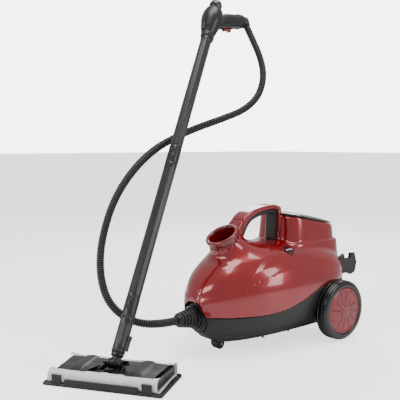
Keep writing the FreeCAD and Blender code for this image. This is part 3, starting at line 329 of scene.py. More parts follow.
def new_group(name, sockets_in, sockets_out):
    group = bpy.data.node_groups.new(name, "ShaderNodeTree")
    for label, value in sockets_in:
        socket = group.interface.new_socket(label, in_out="INPUT", socket_type="NodeSocketFloat")
        socket.default_value = value
    for label in sockets_out:
        group.interface.new_socket(label, in_out="OUTPUT", socket_type="NodeSocketFloat")
    source = group.nodes.new("NodeGroupInput")
    sink = group.nodes.new("NodeGroupOutput")
    return group, source, sink


def noise_at(tree, vector, scale, detail=3.0, rough=0.5):
    noise = tree.nodes.new("ShaderNodeTexNoise")
    noise.inputs["Detail"].default_value = detail
    noise.inputs["Roughness"].default_value = rough
    tree.links.new(vector, noise.inputs["Vector"])
    if isinstance(scale, (int, float)):
        noise.inputs["Scale"].default_value = scale
    else:
        tree.links.new(scale, noise.inputs["Scale"])
    return noise.outputs["Fac"]


def maths(tree, kind, a, b=None, clamp=False):
    node = tree.nodes.new("ShaderNodeMath")
    node.operation = kind
    node.use_clamp = clamp
    for slot, value in zip(node.inputs, (a, b)):
        if value is None:
            continue
        if isinstance(value, (int, float)):
            slot.default_value = value
        else:
            tree.links.new(value, slot)
    return node.outputs[0]


def stretched(tree, value, low, high, to_low=0.0, to_high=1.0):
    node = tree.nodes.new("ShaderNodeMapRange")
    tree.links.new(value, node.inputs["Value"])
    for label, number in (("From Min", low), ("From Max", high), ("To Min", to_low), ("To Max", to_high)):
        node.inputs[label].default_value = number
    return node.outputs["Result"]


def make_mould_grain():
    """Fine moulded texture: an even grain with slow clouds in its tone and gloss."""
    group, source, sink = new_group("mould_grain", [("Grain", 900.0), ("Clouds", 14.0)],
                                    ["Tone", "Gloss", "Height"])
    place = group.nodes.new("ShaderNodeTexCoord").outputs["Object"]
    fine = noise_at(group, place, source.outputs["Grain"], 2)
    slow = noise_at(group, place, source.outputs["Clouds"], 4, 0.6)
    group.links.new(slow, sink.inputs["Tone"])
    both = maths(group, "ADD", maths(group, "MULTIPLY", slow, 0.6), maths(group, "MULTIPLY", fine, 0.4))
    group.links.new(both, sink.inputs["Gloss"])
    group.links.new(fine, sink.inputs["Height"])
    return group


def make_edge_wear():
    """Where use has rubbed the raised edges, broken up by noise."""
    group, source, sink = new_group("edge_wear", [("Amount", 0.5)], ["Worn"])
    sharp = group.nodes.new("ShaderNodeNewGeometry").outputs["Pointiness"]
    place = group.nodes.new("ShaderNodeTexCoord").outputs["Object"]
    edge = stretched(group, sharp, 0.51, 0.60)
    broken = stretched(group, noise_at(group, place, 60, 5, 0.7), 0.35, 0.65)
    worn = maths(group, "MULTIPLY", edge, broken, True)
    group.links.new(maths(group, "MULTIPLY", worn, source.outputs["Amount"], True), sink.inputs["Worn"])
    return group


def make_settled_dust():
    """A thin film on what faces up."""
    group, source, sink = new_group("settled_dust", [("Amount", 0.3)], ["Film"])
    normal = group.nodes.new("ShaderNodeNewGeometry").outputs["Normal"]
    split = group.nodes.new("ShaderNodeSeparateXYZ")
    group.links.new(normal, split.inputs[0])
    place = group.nodes.new("ShaderNodeTexCoord").outputs["Object"]
    up = stretched(group, split.outputs["Z"], 0.3, 1.0)
    patch = stretched(group, noise_at(group, place, 35, 6, 0.7), 0.4, 0.75)
    film = maths(group, "MULTIPLY", up, patch, True)
    group.links.new(maths(group, "MULTIPLY", film, source.outputs["Amount"], True), sink.inputs["Film"])
    return group


GRAIN_GROUP = make_mould_grain()
WEAR_GROUP = make_edge_wear()
DUST_GROUP = make_settled_dust()


def placed_group(tree, group, **values):
    node = tree.nodes.new("ShaderNodeGroup")
    node.node_tree = group
    for label, value in values.items():
        node.inputs[label].default_value = value
    return node


def mixed(tree, share, first, second):
    """One colour over another: each is a colour or a socket."""
    node = tree.nodes.new("ShaderNodeMix")
    node.data_type = "RGBA"
    tree.links.new(share, node.inputs["Factor"])
    for slot, value in ((node.inputs[6], first), (node.inputs[7], second)):
        if isinstance(value, tuple):
            slot.default_value = value
        else:
            tree.links.new(value, slot)
    return node.outputs[2]


def finish(name, dark, light, rough, grain=900.0, clouds=14.0, depth=0.05, worn=None, wear=0.35, dust=0.12,
           metal=0.0, coat=0.0, sheen=0.0, spread=0.06):
    """A moulded, rubber or metal finish: two tones, grain in its gloss and relief, worn edges and dust."""
    made = bpy.data.materials.new(name)
    made.use_nodes = True
    tree = made.node_tree
    shader = tree.nodes["Principled BSDF"]
    body = placed_group(tree, GRAIN_GROUP, Grain=grain, Clouds=clouds)
    edges = placed_group(tree, WEAR_GROUP, Amount=wear)
    film = placed_group(tree, DUST_GROUP, Amount=dust)
    tone = stretched(tree, body.outputs["Tone"], 0.3, 0.7)
    colour = mixed(tree, tone, linear(*dark), linear(*light))
    lighter = worn or tuple(min(255, c + 30) for c in light)
    colour = mixed(tree, edges.outputs["Worn"], colour, linear(*lighter))
    colour = mixed(tree, film.outputs["Film"], colour, linear(150, 146, 140))
    tree.links.new(colour, shader.inputs["Base Color"])
    gloss = stretched(tree, body.outputs["Gloss"], 0.3, 0.7, rough - spread, rough + spread)
    gloss = maths(tree, "ADD", gloss, maths(tree, "MULTIPLY", edges.outputs["Worn"], 0.12))
    tree.links.new(maths(tree, "ADD", gloss, maths(tree, "MULTIPLY", film.outputs["Film"], 0.3), True),
                   shader.inputs["Roughness"])
    bump = tree.nodes.new("ShaderNodeBump")
    bump.inputs["Strength"].default_value = depth
    bump.inputs["Distance"].default_value = 0.0004
    tree.links.new(body.outputs["Height"], bump.inputs["Height"])
    tree.links.new(bump.outputs["Normal"], shader.inputs["Normal"])
    shader.inputs["Metallic"].default_value = metal
    shader.inputs["Coat Weight"].default_value = coat
    shader.inputs["Coat Roughness"].default_value = 0.06
    shader.inputs["Sheen Weight"].default_value = sheen
    return made


ROOM_GLOW, BACKDROP_GLOW = 0.6, 6.0
RED_GLOSS = finish("red_gloss_shell", (128, 0, 10), (146, 0, 16), 0.22, grain=1400, clouds=9, depth=0.02,
                   worn=(176, 24, 36), wear=0.25, dust=0.02, metal=0.3, coat=1.0)
RED_DEEP = finish("red_funnel_plastic", (92, 0, 8), (120, 0, 12), 0.26, grain=1200, depth=0.02, wear=0.3,
                  worn=(150, 20, 30), dust=0.02, coat=0.7)
RED_CAP = finish("red_wheel_cap", (112, 0, 12), (132, 4, 20), 0.34, grain=1000, depth=0.05, wear=0.4,
                 dust=0.03, coat=0.4)
CHARCOAL = finish("charcoal_satin_base", (13, 12, 12), (20, 19, 18), 0.42, grain=1100, depth=0.10,
                  wear=0.3, dust=0.05)
BLACK_GLOSS = finish("black_gloss_lid", (4, 4, 5), (9, 9, 10), 0.10, grain=900, depth=0.01, wear=0.2,
                     dust=0.05, coat=0.8)
BLACK_SATIN = finish("black_satin_plastic", (8, 8, 9), (14, 14, 15), 0.38, grain=1200, depth=0.10, dust=0.05)
TYRE = finish("glossy_tyre", (4, 4, 4), (9, 9, 9), 0.24, grain=700, depth=0.10, wear=0.2,
              dust=0.04, coat=0.2)
HOSE_BLACK = finish("ribbed_hose_rubber", (10, 10, 11), (18, 18, 19), 0.40, grain=1500, depth=0.12,
                    wear=0.3, dust=0.05)
WAND_GREY = finish("wand_satin_plastic", (20, 20, 21), (30, 30, 32), 0.34, grain=1300, depth=0.08,
                   wear=0.35, dust=0.05)
FLAP_GREY = finish("flap_charcoal_plastic", (12, 12, 13), (20, 20, 21), 0.40, grain=1200, depth=0.12,
                   wear=0.35, dust=0.05)
STEEL = finish("brushed_steel", (150, 150, 152), (184, 184, 186), 0.30, grain=1500, depth=0.10, metal=1.0)
BOILER_METAL = finish("cast_boiler_metal", (132, 134, 138), (170, 172, 176), 0.45, grain=500, depth=0.3,
                      metal=0.9)
BRASS = finish("brass_fitting", (150, 118, 62), (184, 148, 84), 0.32, grain=900, depth=0.15, metal=1.0)
SILICONE = finish("silicone_seal", (176, 172, 166), (204, 200, 194), 0.55, grain=900, depth=0.1, wear=0.1)
WHITE_MARK = finish("white_indicator_mark", (226, 228, 230), (244, 246, 248), 0.35, grain=900, wear=0.1)


# ---------------------------------------------------------------- canister shell

NOSE_REACH, TAIL_REACH, WIDEST_X, HALF_WIDTH, RISE, DROP, WAIST = 262, 198, -180, 127, 130, 98, 120
BLOCK_FRONT, BLOCK_REAR, BLOCK_HALF = -182, -366, 76
BLOCK_MIDDLE = (BLOCK_FRONT + BLOCK_REAR) / 2
WALL = 4.5
FUNNEL_X = -10.0
FUNNEL_Z = (CANISTER.inverted() @ FUNNEL.translation).z / MM
LEAN = math.radians(30)


def tapered(share, power, root):
    return np.clip(1 - np.clip(share, 0, 1) ** power, 1e-4, 1) ** root


def rounded_body(x, y, z):
    """The canister's envelope: an egg in plan, flatter below its waist than above."""
    reach = x - WIDEST_X
    ahead = reach > 0
    share = np.abs(reach) / np.where(ahead, NOSE_REACH, TAIL_REACH)
    half = HALF_WIDTH * np.where(ahead, tapered(share, 2.2, 0.5), tapered(share, 4, 1 / 3))
    up = RISE * np.where(ahead, tapered(share, 2.6, 0.5), tapered(share, 4, 1 / 3))
    down = DROP * tapered(share, 8, 0.5)
    height = z - WAIST
    tall = np.abs(height) / np.where(height > 0, up, down)
    beyond = 60 * np.clip(share - 1, 0, None)
    return 100 * (((np.abs(y) / half) ** 2.6 + tall ** 2.6) ** (1 / 2.6) - 1 + beyond)


def body_skin(x, y, z):
    """Distance to the envelope, kept well clear of zero far outside it, where the slope says little."""
    raw = rounded_body(x, y, z)
    return np.where(raw > 60, np.maximum(body_distance(x, y, z), 12), body_distance(x, y, z))


body_distance = true_distance(rounded_body)


def seam_height(x):
    """The parting line: level under the nose, then rising over the wheel to the tail."""
    share = np.clip((-20 - x) / 265, 0, 1) ** 1.4
    return 95 + 54 * share ** 2 * (3 - 2 * share)


def upper_crease(x):
    return 221 - 21 * np.clip(np.abs(x + 110) / 147, 0, 1.6) ** 2


def lower_crease(x):
    return 217 - 82 * np.clip((x + 300) / 379, 0, 1.1) ** 1.8


def step_at(distance, width):
    return 1 / (1 + np.exp(-np.clip(distance / width, -30, 30)))


def pressed_bands(x, z):
    """How far the shell stands out: two shelves, and a hollow band between the creases."""
    belly = 3.0 * step_at(lower_crease(x) - z, 2.8)
    brow = 2.2 * step_at(z - upper_crease(x), 2.8) * step_at(60 - x, 8)
    return belly + brow - 1.0


def funnel_axes(x, y, z):
    """Distance off the funnel's axis and height along it."""
    dx, dz = x - FUNNEL_X, z - FUNNEL_Z
    along = dx * math.sin(LEAN) + dz * math.cos(LEAN)
    across = np.hypot(dx * math.cos(LEAN) - dz * math.sin(LEAN), y)
    return across, along


def block_top(x):
    return 318 - 38 * (BLOCK_FRONT - x) / (BLOCK_FRONT - BLOCK_REAR)


def block_side(x, y, z, inset):
    """Distance to the leaning side of the raised block."""
    lean = inset + 0.085 * (z - 220)
    long_half = (BLOCK_FRONT - BLOCK_REAR) / 2 - lean
    wide_half = BLOCK_HALF - lean
    ring = ((np.abs(x - BLOCK_MIDDLE) / long_half) ** 4.44 + (np.abs(y) / wide_half) ** 4.44) ** (1 / 4.44)
    return (ring - 1) * wide_half


CROWN = smooth_corners([(-46, 295), (-72, 323), (-108, 336), (-161, 344), (-190, 339), (-204, 328)])
INNER = smooth_corners([(-62, 280), (-80, 310), (-110, 325), (-160, 332), (-186, 327)])
UNDER = smooth_corners([(-66, 264), (-86, 301), (-112, 314), (-160, 322), (-178, 314)])
STRAP_OUTLINE = np.vstack(([(-34, 226)], CROWN, [(-204, 226), (-186, 226)], INNER[::-1], [(-60, 226)]))
LINING_OUTLINE = np.vstack(([(-59, 240)], INNER, [(-186, 240), (-176, 240)], UNDER[::-1], [(-69, 240)]))


def strap(x, y, z):
    return smooth_both(outline_field(x, z, STRAP_OUTLINE), np.abs(y) - 21, 4)


def red_form(x, y, z):
    """Everything red above the seam, before it is hollowed: body, funnel mound, block and handle root."""
    form = body_skin(x, y, z) - pressed_bands(x, z)
    off, along = funnel_axes(x, y, z)
    trumpet = np.maximum(off - 37.5 - 16 * np.clip((-along - 8) / 40, 0, 2) ** 1.8, along + 12)
    trumpet = np.maximum(trumpet, -along - 75)
    form = smooth_union(form, trumpet, 16)
    side = block_side(x, y, z, 0)
    roof = (z - block_top(x)) * 0.98
    tower = smooth_both(side, roof, 7)
    shoulder = smooth_both(block_side(x, y, z, -7), z - 246, 5)
    form = smooth_union(form, smooth_union(tower, shoulder, 4), 5)
    return form


def strap_share(x, y, z):
    """The part of the handle that comes off as its own piece, above its two roots."""
    return np.maximum(np.maximum(x + 62, -184 - x), 268 - z)


def red_shell(x, y, z):
    form = red_form(x, y, z)
    off, along = funnel_axes(x, y, z)
    handle = np.maximum(strap(x, y, z), -rod_field(off, along, 42.6, -12, 60))
    whole = smooth_union(form, handle, 10)
    whole = np.maximum(whole, -strap_share(x, y, z))
    hollow = np.maximum(form + WALL, -(np.maximum(off - 42, -along - 66)))
    hollow = np.maximum(hollow, -(np.maximum(block_side(x, y, z, 3.4), 232 - z)))
    whole = np.maximum(whole, -hollow)
    whole = np.maximum(whole, -np.maximum(off - 37.4, -along - 61))
    tub = np.maximum(block_side(x, y, z, 4.4), 236 - z)
    whole = smooth_both(whole, -tub, 1.0)
    whole = smooth_both(whole, seam_height(x) + 0.5 - z, 1.2)
    socket = np.maximum(np.hypot(y, z - 90) - 38.4, 24 - x)
    return np.maximum(whole, -socket)


def handle_strap(x, y, z):
    off, along = funnel_axes(x, y, z)
    handle = smooth_union(red_form(x, y, z), strap(x, y, z), 10)
    handle = np.maximum(handle, -rod_field(off, along, 42.6, -12, 60))
    return smooth_both(handle, strap_share(x, y, z) + 0.4, 0.8)


def handle_lining(x, y, z):
    lining = smooth_both(outline_field(x, z, LINING_OUTLINE), np.abs(y) - 17, 3)
    ribbed_part = step_at(318 - z, 3) * step_at(x + 160, 4) * step_at(-96 - x, 4)
    ribs = 0.35 * np.cos(x * 2 * math.pi / 6.0) * ribbed_part
    return np.maximum(lining - ribs, -(red_form(x, y, z) - 0.3))


def dark_base(x, y, z):
    form = body_skin(x, y, z)
    lip = 2.2 * step_at(34 - z, 1.0) - 0.9 * step_at(2.2 - np.abs(z - 38), 0.6)
    form = form - lip
    wall = np.maximum(form, -(form + WALL))
    well = np.maximum(np.hypot(x + 292, z - WHEEL_R) - 78.5, 115 - np.abs(y))
    liner = np.maximum(np.hypot(x + 292, z - WHEEL_R) - 82.5, 111 - np.abs(y))
    wall = smooth_union(wall, np.maximum(form, liner), 2)
    post = np.maximum(np.hypot(x - 10, y) - 38, np.abs(z - 35) - 16)
    wall = np.maximum(smooth_union(wall, np.maximum(post, form), 3), -well)
    wall = smooth_both(wall, z - seam_height(x) + 0.5, 1.2)
    recess = np.maximum(np.hypot(x - 10, y) - 35, z - 33)
    socket = np.maximum(np.hypot(y, z - 90) - 38.4, 24 - x)
    gland = np.maximum(np.hypot(y - 25, z - 115) - 9.4, x + 350)
    wall = np.maximum(wall, -np.minimum(recess, np.minimum(socket, gland)))
    for sx, sy in SCREWS:
        wall = np.maximum(wall, -np.maximum(np.hypot(x - sx, y - sy) - 4.6, z - 26))
    return wall


SCREWS = [(-90, 63.5), (-90, -63.5), (-180, 63.5), (-180, -63.5), (-350, 28.6), (-350, -28.6)]


def glossy_lid(x, y, z):
    long_half, wide_half = 85.5, 69.5
    ring = ((np.abs(x - BLOCK_MIDDLE) / long_half) ** 4.44 + (np.abs(y) / wide_half) ** 4.44) ** (1 / 4.44)
    side = (ring - 1) * wide_half
    dome = 3.5 + 8.8 * np.clip(1 - ring ** 2.4, 0, 1) ** 0.75
    height = z - block_top(x)
    cover = smooth_both(smooth_both(side, height - dome, 2.5), 0.6 - height, 0.8)
    barrel = rod_field(np.hypot(x + 369, z - 277), y, 5, -20, 20)
    arm = block_field(x, y, z, (-361, 0, 281.5), (8, 19, 3.0), 1.2)
    return smooth_union(cover, smooth_union(barrel, arm, 2), 1.5)


def make_shells():
    red = surface_of(red_shell, (-382, -132, 88), (90, 132, 346), 2.7)
    piece("red_shell", red, CANISTER, RED_GLOSS, "canister", ["upper_shell"])
    grip = surface_of(handle_strap, (-192, -24, 262), (-58, 24, 348), 1.3)
    piece("handle_strap", grip, CANISTER, RED_GLOSS, "canister", ["carry_handle"])
    lining = surface_of(handle_lining, (-192, -19, 238), (-56, 19, 336), 1.2)
    piece("handle_lining", lining, CANISTER, BLACK_SATIN, "canister", ["handle_grip"])
    base = surface_of(dark_base, (-382, -132, 18), (90, 132, 156), 2.7)
    piece("dark_base", base, CANISTER, CHARCOAL, "canister", ["lower_base"])
    lid = surface_of(glossy_lid, (-376, -72, 268), (-186, 72, 334), 1.7)
    piece("glossy_lid", lid, CANISTER, BLACK_GLOSS, "lid", ["accessory_lid"])


def make_funnel():
    wall = [(37, -11), (42, -10), (42, -1.5), (40, 1.2), (35.5, 1.2), (33, -2), (29.5, -26), (26, -52), (24, -57),
            (12.6, -57), (12.6, -60), (37, -60)]
    rim = softened(wall + [wall[0]], 2.2)
    piece("funnel_cup", lathe(rim[:-1], 128), FUNNEL, RED_DEEP, "canister", ["filler_funnel"], crisp=50)

    def fluted(angle, radius, height):
        ribs = 0.8 * np.maximum(np.cos(angle * 14), 0) ** 2
        return radius - ribs * (radius > 17) * (height > -48), height
    low = -56.9
    cap = softened([(0, low - 18), (12.4, low - 18), (12.4, low + 2.5), (16, low + 2.5), (20, low + 9.5),
                    (20, low + 16), (17, low + 20), (6, low + 19), (0, low + 18.6)], 1.5)
    cap[:, 0] = np.maximum(cap[:, 0], 0.01)
    piece("safety_cap", lathe(cap, 112, False, fluted), FUNNEL, BLACK_SATIN, "filler_cap", ["filler_cap"])


# ---------------------------------------------------------------- wheels, hooks and hose end

def wheel_frame(side):
    hub = joint_at("wheel_left_spin" if side > 0 else "wheel_right_spin")
    place = axes_at((hub.x, CANISTER.translation.y + side * 0.118, hub.z), (1, 0, 0), (0, side, 0))
    return place


def make_wheel(side, label):
    place = wheel_frame(side)
    body = "wheel_" + label
    tread = [(14, 8), (60.5, 8), (60.5, 0.5), (71, 0), (75.3, 3.5), (75.5, 9), (74.3, 9.6), (74.3, 11),
             (75.5, 11.6), (75.5, 22.4), (74.3, 23), (74.3, 24.4), (75.5, 25), (75.1, 30), (71.5, 34.2),
             (63, 35.6), (59.4, 34.6), (58.2, 32.5), (58.2, 27), (4.06, 27), (4.06, 0), (14, 0)]

    def notched(angle, radius, height):
        teeth = 0.5 * np.maximum(np.cos(angle * 90), 0)
        return radius - teeth * (radius > 74.5) * (np.abs(height - 17) < 7), height
    rim = softened(tread + [tread[0]], 1.6, 3)
    piece("tyre_skin_" + label, lathe(rim[:-1], 270, True, notched), place, TYRE, body, ["tyre_" + label],
          crisp=60)

    face = []
    for radius in np.concatenate((np.linspace(0.01, 8, 6), np.linspace(9, 56, 48), [57, 57.7, 58, 58])):
        crown = 33.2 + 2.6 * (1 - (radius / 62.5) ** 2) + 1.2 * math.exp(-((radius - 54.6) / 1.4) ** 2)
        crown += 1.5 * step_at(np.array(13.5 - radius), 0.4) - 1.0 * math.exp(-((radius - 50.6) / 0.8) ** 2)
        face.append((radius, float(crown)))
    face[-1] = (58, 27.05)
    face.append((0.01, 27.05))

    def petals(angle, radius, height):
        spokes = np.clip((np.cos(angle * 12 + radius / 26) - 0.86) / 0.14, 0, 1)
        band = ((radius > 16) & (radius < 49) & (height > 30)) * np.clip((radius - 16) / 4, 0, 1)
        return radius, height - 1.5 * spokes * band * np.clip((49 - radius) / 3, 0, 1)
    piece("wheel_cap_" + label, lathe(face, 360, False, petals), place, RED_CAP, body, ["wheel_disc_" + label])


HOOK = [(-348, 196), (-366, 205), (-370, 192), (-392, 190), (-396, 204), (-412, 203), (-421, 176), (-414, 150),
        (-396, 145), (-378, 152), (-348, 150)]


def make_hook(side, label):
    def hook(x, y, z):
        arm = smooth_both(outline_field(x, z, HOOK), np.abs(y - side * 85) - 5, 2.6)
        web = smooth_both(outline_field(x, z, HOOK) + 5, np.abs(np.abs(y - side * 85) - 5) - 1.0, 1.0)
        return np.maximum(np.maximum(arm, -web), -(body_skin(x, y, z) + 0.5))
    low, high = min(side * 78, side * 92), max(side * 78, side * 92)
    piece("cord_hook_skin_" + label, surface_of(hook, (-424, low, 142), (-344, high, 208), 1.0),
          CANISTER, CHARCOAL, "canister", ["cord_hook_" + label])


def make_hose_end():
    start = axes_at(point(CANISTER, 26, 0, 90), (0, 1, 0), (1, 0, 0))
    wall = [(4, 0), (38, 0), (38, 24), (37, 25), (37, 28), (38, 29), (38, 34), (36.4, 40.6), (32, 41), (32, 48),
            (25.1, 48), (25.1, 22), (4, 22)]

    def clips(angle, radius, height):
        lobes = 1.1 * np.clip((np.cos(angle * 4) - 0.55) / 0.2, 0, 1) * (radius > 36.5) * (height > 28)
        return radius + lobes, height
    rim = softened(wall + [wall[0]], 1.2, 3)
    piece("socket_collar", lathe(rim[:-1], 160, True, clips), start, CHARCOAL, "canister", ["hose_socket"],
          crisp=45)
    plug = [(6, 0), (25, 0), (25, 26.2), (27, 26.2), (27, 34)]
    for step in range(5):
        radius = 25 - 1.5 - 1.6 * step
        plug += [(radius - 2, 34.2 + 8 * step), (radius - 2, 37 + 8 * step), (radius, 37.6 + 8 * step),
                 (radius, 41.6 + 8 * step)]
    plug += [(13.8, 75), (12.8, 80), (6, 80)]

    def keyed(angle, radius, height):
        flats = 0.9 * np.clip(np.cos(angle * 24), 0, 1) * (np.abs(height - 30) < 3.5) * (radius > 26)
        return radius - flats, height
    rim = softened(plug + [plug[0]], 0.8, 3)
    piece("hose_plug", lathe(rim[:-1], 144, True, keyed), moved(start, z=22), BLACK_SATIN, "canister",
          ["hose_connector"], crisp=45)


# ---------------------------------------------------------------- steam hose

HOSE_ROUTE = [(0.128, 0, 0.090), (0.186, 0, 0.090), (0.238, -0.027, 0.103), (0.268, -0.064, 0.139),
              (0.268, -0.098, 0.190), (0.256, -0.119, 0.247), (0.237, -0.127, 0.305), (0.213, -0.128, 0.361),
              (0.178, -0.128, 0.411), (0.134, -0.130, 0.453), (0.082, -0.139, 0.485), (0.025, -0.151, 0.507),
              (-0.033, -0.156, 0.528), (-0.091, -0.150, 0.547), (-0.148, -0.138, 0.566), (-0.204, -0.124, 0.588),
              (-0.250, -0.118, 0.627), (-0.277, -0.127, 0.680), (-0.284, -0.147, 0.732), (-0.278, -0.170, 0.780),
              (-0.276, -0.197, 0.826)]


def smooth_route(points):
    """Points read from one open spline that has the route's points as its control points."""
    curve = bpy.data.curves.new("hose_route", "CURVE")
    curve.dimensions = "3D"
    curve.resolution_u = 32
    spline = curve.splines.new("NURBS")
    spline.points.add(len(points) - 1)
    for control, place in zip(spline.points, points):
        control.co = (*place, 1)
    spline.order_u = 3
    spline.use_endpoint_u = True
    holder = bpy.data.objects.new("hose_route", curve)
    mesh = bpy.data.meshes.new_from_object(holder)
    line = np.array([vertex.co for vertex in mesh.vertices])
    bpy.data.objects.remove(holder)
    bpy.data.meshes.remove(mesh)
    bpy.data.curves.remove(curve)
    return line


def evenly(line, step):
    runs = np.concatenate(([0], np.cumsum(np.linalg.norm(np.diff(line, axis=0), axis=1))))
    count = max(2, round(runs[-1] / step))
    marks = np.linspace(0, runs[-1], count + 1)
    return np.stack([np.interp(marks, runs, line[:, k]) for k in range(3)], 1), marks


def tube_rings(line, radii, around):
    """Rings square to a line, turned as little as it allows."""
    along = np.gradient(line, axis=0)
    along /= np.linalg.norm(along, axis=1, keepdims=True)
    side = np.cross(along[0], (0.2, 1, 0.1))
    angle = np.linspace(0, 2 * math.pi, around, endpoint=False)
    rings = []
    for centre, ahead, radius in zip(line, along, radii):
        side = side - ahead * (side @ ahead)
        side /= np.linalg.norm(side)
        other = np.cross(ahead, side)
        rings.append(centre + radius * (np.cos(angle)[:, None] * side + np.sin(angle)[:, None] * other))
    return rings


def make_hose():
    route = [tuple(point(CANISTER, *(c / MM for c in place))) for place in HOSE_ROUTE]
    line = smooth_route(route)
    fine, marks = evenly(line, 0.00068)
    wave = np.sin(marks * 2 * math.pi / 0.0054)
    rib = 0.00885 + 0.00082 * np.tanh(2.4 * wave) / math.tanh(2.4)
    rings = tube_rings(fine, rib, 22)
    cap = [fine[0] + (ring - fine[0]) * 0.05 for ring in (rings[0],)]
    end = [fine[-1] + (ring - fine[-1]) * 0.05 for ring in (rings[-1],)]
    points, faces = ring_skin(cap + rings + end, False)
    ends = [list(range(22))[::-1], [len(points) - 22 + k for k in range(22)]]
    mesh = bpy.data.meshes.new("corrugated_hose")
    mesh.from_pydata(points.tolist(), [], faces.tolist() + ends)
    mesh.update()
    mesh.shade_smooth()
    mesh.materials.append(HOSE_BLACK)
    hose = bpy.data.objects.new("corrugated_hose", mesh)
    bpy.context.collection.objects.link(hose)
    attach(hose, "canister")
    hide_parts("steam_hose")


# ---------------------------------------------------------------- wand

def faceted(rings, pocket, seat, segments=96):
    """Rings of radius, height and how flat their eight facets are, with a button pocket and a latch seat."""
    angle = np.linspace(0, 2 * math.pi, segments, endpoint=False)
    wedge = math.pi / 4
    across = np.cos((angle + wedge / 2) % wedge - wedge / 2)
    skin = []
    for radius, height, flat in rings:
        facet = np.minimum(radius, radius * 0.945 / across)
        r = radius + (facet - radius) * flat
        if pocket[0] < height < pocket[1]:
            r = np.where(np.cos(angle) > 0.68, r - 6.2, r)
        if seat[0] < height < seat[1] and radius > 13.2:
            r = np.minimum(r, 13.2 / np.maximum(np.sin(angle), 0.5))
        skin.append(np.stack((r * np.cos(angle), r * np.sin(angle), np.full(segments, height)), 1))
    return ring_skin(skin, True)


def tube_skin(length, collar, seat=(0, 0)):
    """One extension tube: a socket collar below, long facets, and a spigot above."""
    rings = [(13, 0, 0), (14.4, 0, 0), (15.2, 0.8, 0), (15.4, 3, 0), (15.4, collar - 3, 0), (15.1, collar - 1, 0)]
    rings += [(14.7, collar, 0), (14.7, collar + 1, 0), (15.0, collar + 2, 0), (15.0, collar + 8, 0.6),
              (15.0, collar + 14, 1)]
    for share in np.linspace(0.08, 0.92, 12):
        rings.append((15.0, collar + 14 + share * (length - 30 - collar), 1))
    rings += [(15.0, length - 16, 1), (15.0, length - 10, 0.3), (15.3, length - 8, 0), (15.3, length - 1, 0),
              (14.9, length - 0.2, 0), (13.2, length, 0), (12.9, length + 0.4, 0)]
    window = (length + 15, length + 39)
    steps = (14.9, 15.1, 38.9, 39.1)
    rings += [(12.9, length + step, 0) for step in steps]
    rings += [(12.9, length + 44, 0), (12.2, length + 45, 0), (9, length + 45, 0)]
    rings += [(9, length + step, 0) for step in reversed(steps)]
    rings += [(9, length - 10, 0), (13, length - 10, 0)]
    return faceted(rings, window, seat)


def stadium_field(across, along, width, length):
    """Distance to a slot outline with round ends."""
    straight = (length - width) / 2
    return np.hypot(across, np.maximum(np.abs(along) - straight, 0)) - width / 2


def make_button(name, place, low, high, body, node, material):
    """A domed oval button with a dished thumb pad; local X points out of the tube."""
    def button(x, y, z):
        side = stadium_field(y, z, 12.3, 21)
        top = x - (high - 0.05 * y ** 2 + 0.8 * np.exp(-((np.abs(z) - 8) / 2.0) ** 2) - 0.6)
        return smooth_both(smooth_both(side, top, 1.4), low - x, 0.6)
    skin = surface_of(button, (low, -7, -11.5), (high + 1.5, 7, 11.5), 0.55)
    piece(name, skin, place, material, body, [node])


def make_button_ring(name, place):
    """The raised lip round a button's window, bent over the tube."""
    def ring(x, y, z):
        edge = np.abs(stadium_field(y, z, 15.2, 23.8)) - 1.15
        skin = np.abs(np.hypot(x, y) - 14.9) - 1.05
        return np.maximum(smooth_both(edge, skin, 0.8), 8 - x)
    thing = piece(name, surface_of(ring, (9, -10, -14), (17, 10, 14), 0.6), place, WAND_GREY, "canister")
    return thing


def make_wand():
    lower, upper = moved(WAND, z=ADAPTER_END), moved(WAND, z=ADAPTER_END + TUBE_LENGTH)
    piece("lower_tube_skin", tube_skin(TUBE_LENGTH, 46), lower, WAND_GREY, "canister", ["lower_tube"],
          crisp=40)
    piece("upper_tube_skin", tube_skin(TUBE_LENGTH, 46), upper, WAND_GREY, "canister", ["upper_tube"],
          crisp=40)
    piece("adapter_skin", tube_skin(78, 6, (4, 42)), moved(WAND, z=22), WAND_GREY, "canister", ["adapter_tube"],
          crisp=40)
    for label, place in (("lower", lower), ("upper", upper)):
        spot = moved(place, z=27)
        make_button(label + "_release", spot, 10.3, 16.4, label + "_button", label + "_tube_button",
                    BLACK_SATIN)
        make_button_ring(label + "_button_lip", spot)

    def latch(x, y, z):
        pad = block_field(x, y, z, (0, 17.4, 22.5), (5, 2.6, 16.5), 1.2)
        hook = block_field(x, y, z, (0, 18.6, 34), (5, 2.6, 4.5), 1.2)
        ribs = 0.4 * np.cos(z * 2 * math.pi / 3.2) * step_at(y - 19.2, 0.3) * step_at(26 - z, 1)
        return smooth_union(pad, hook, 1.5) - ribs
    piece("latch_pad", surface_of(latch, (-6, 14, 5), (6, 22, 40), 0.6), moved(WAND, z=22), BLACK_SATIN,
          "latch", ["adapter_latch"])

    def neck(x, y, z):
        across = np.hypot(x, y)
        barrel = rod_field(np.hypot(x, z), y, 9, -10, 10, 0.8)
        throat = rod_field(across, z, 9.8, 2, 22)
        collar = rod_field(across, z, 13.8, 14, 21.8, 1.2)
        spigot = rod_field(across, z, 12.9, 15, 62, 1.0)
        fins = np.maximum(np.abs(np.abs(y) - 4) - 1.2, rod_field(np.hypot(x, z), y, 9.5, -6, 6, 0.4))
        body = smooth_union(smooth_union(barrel, throat, 5), smooth_union(collar, spigot, 1), 3)
        body = smooth_union(body, fins, 1)
        return np.maximum(body, -(np.hypot(x, z) - 3.06))
    piece("neck_knuckle", surface_of(neck, (-17, -17, -12), (17, 17, 64), 0.9), WAND, BLACK_SATIN, "canister",
          ["neck"])


# ---------------------------------------------------------------- gun

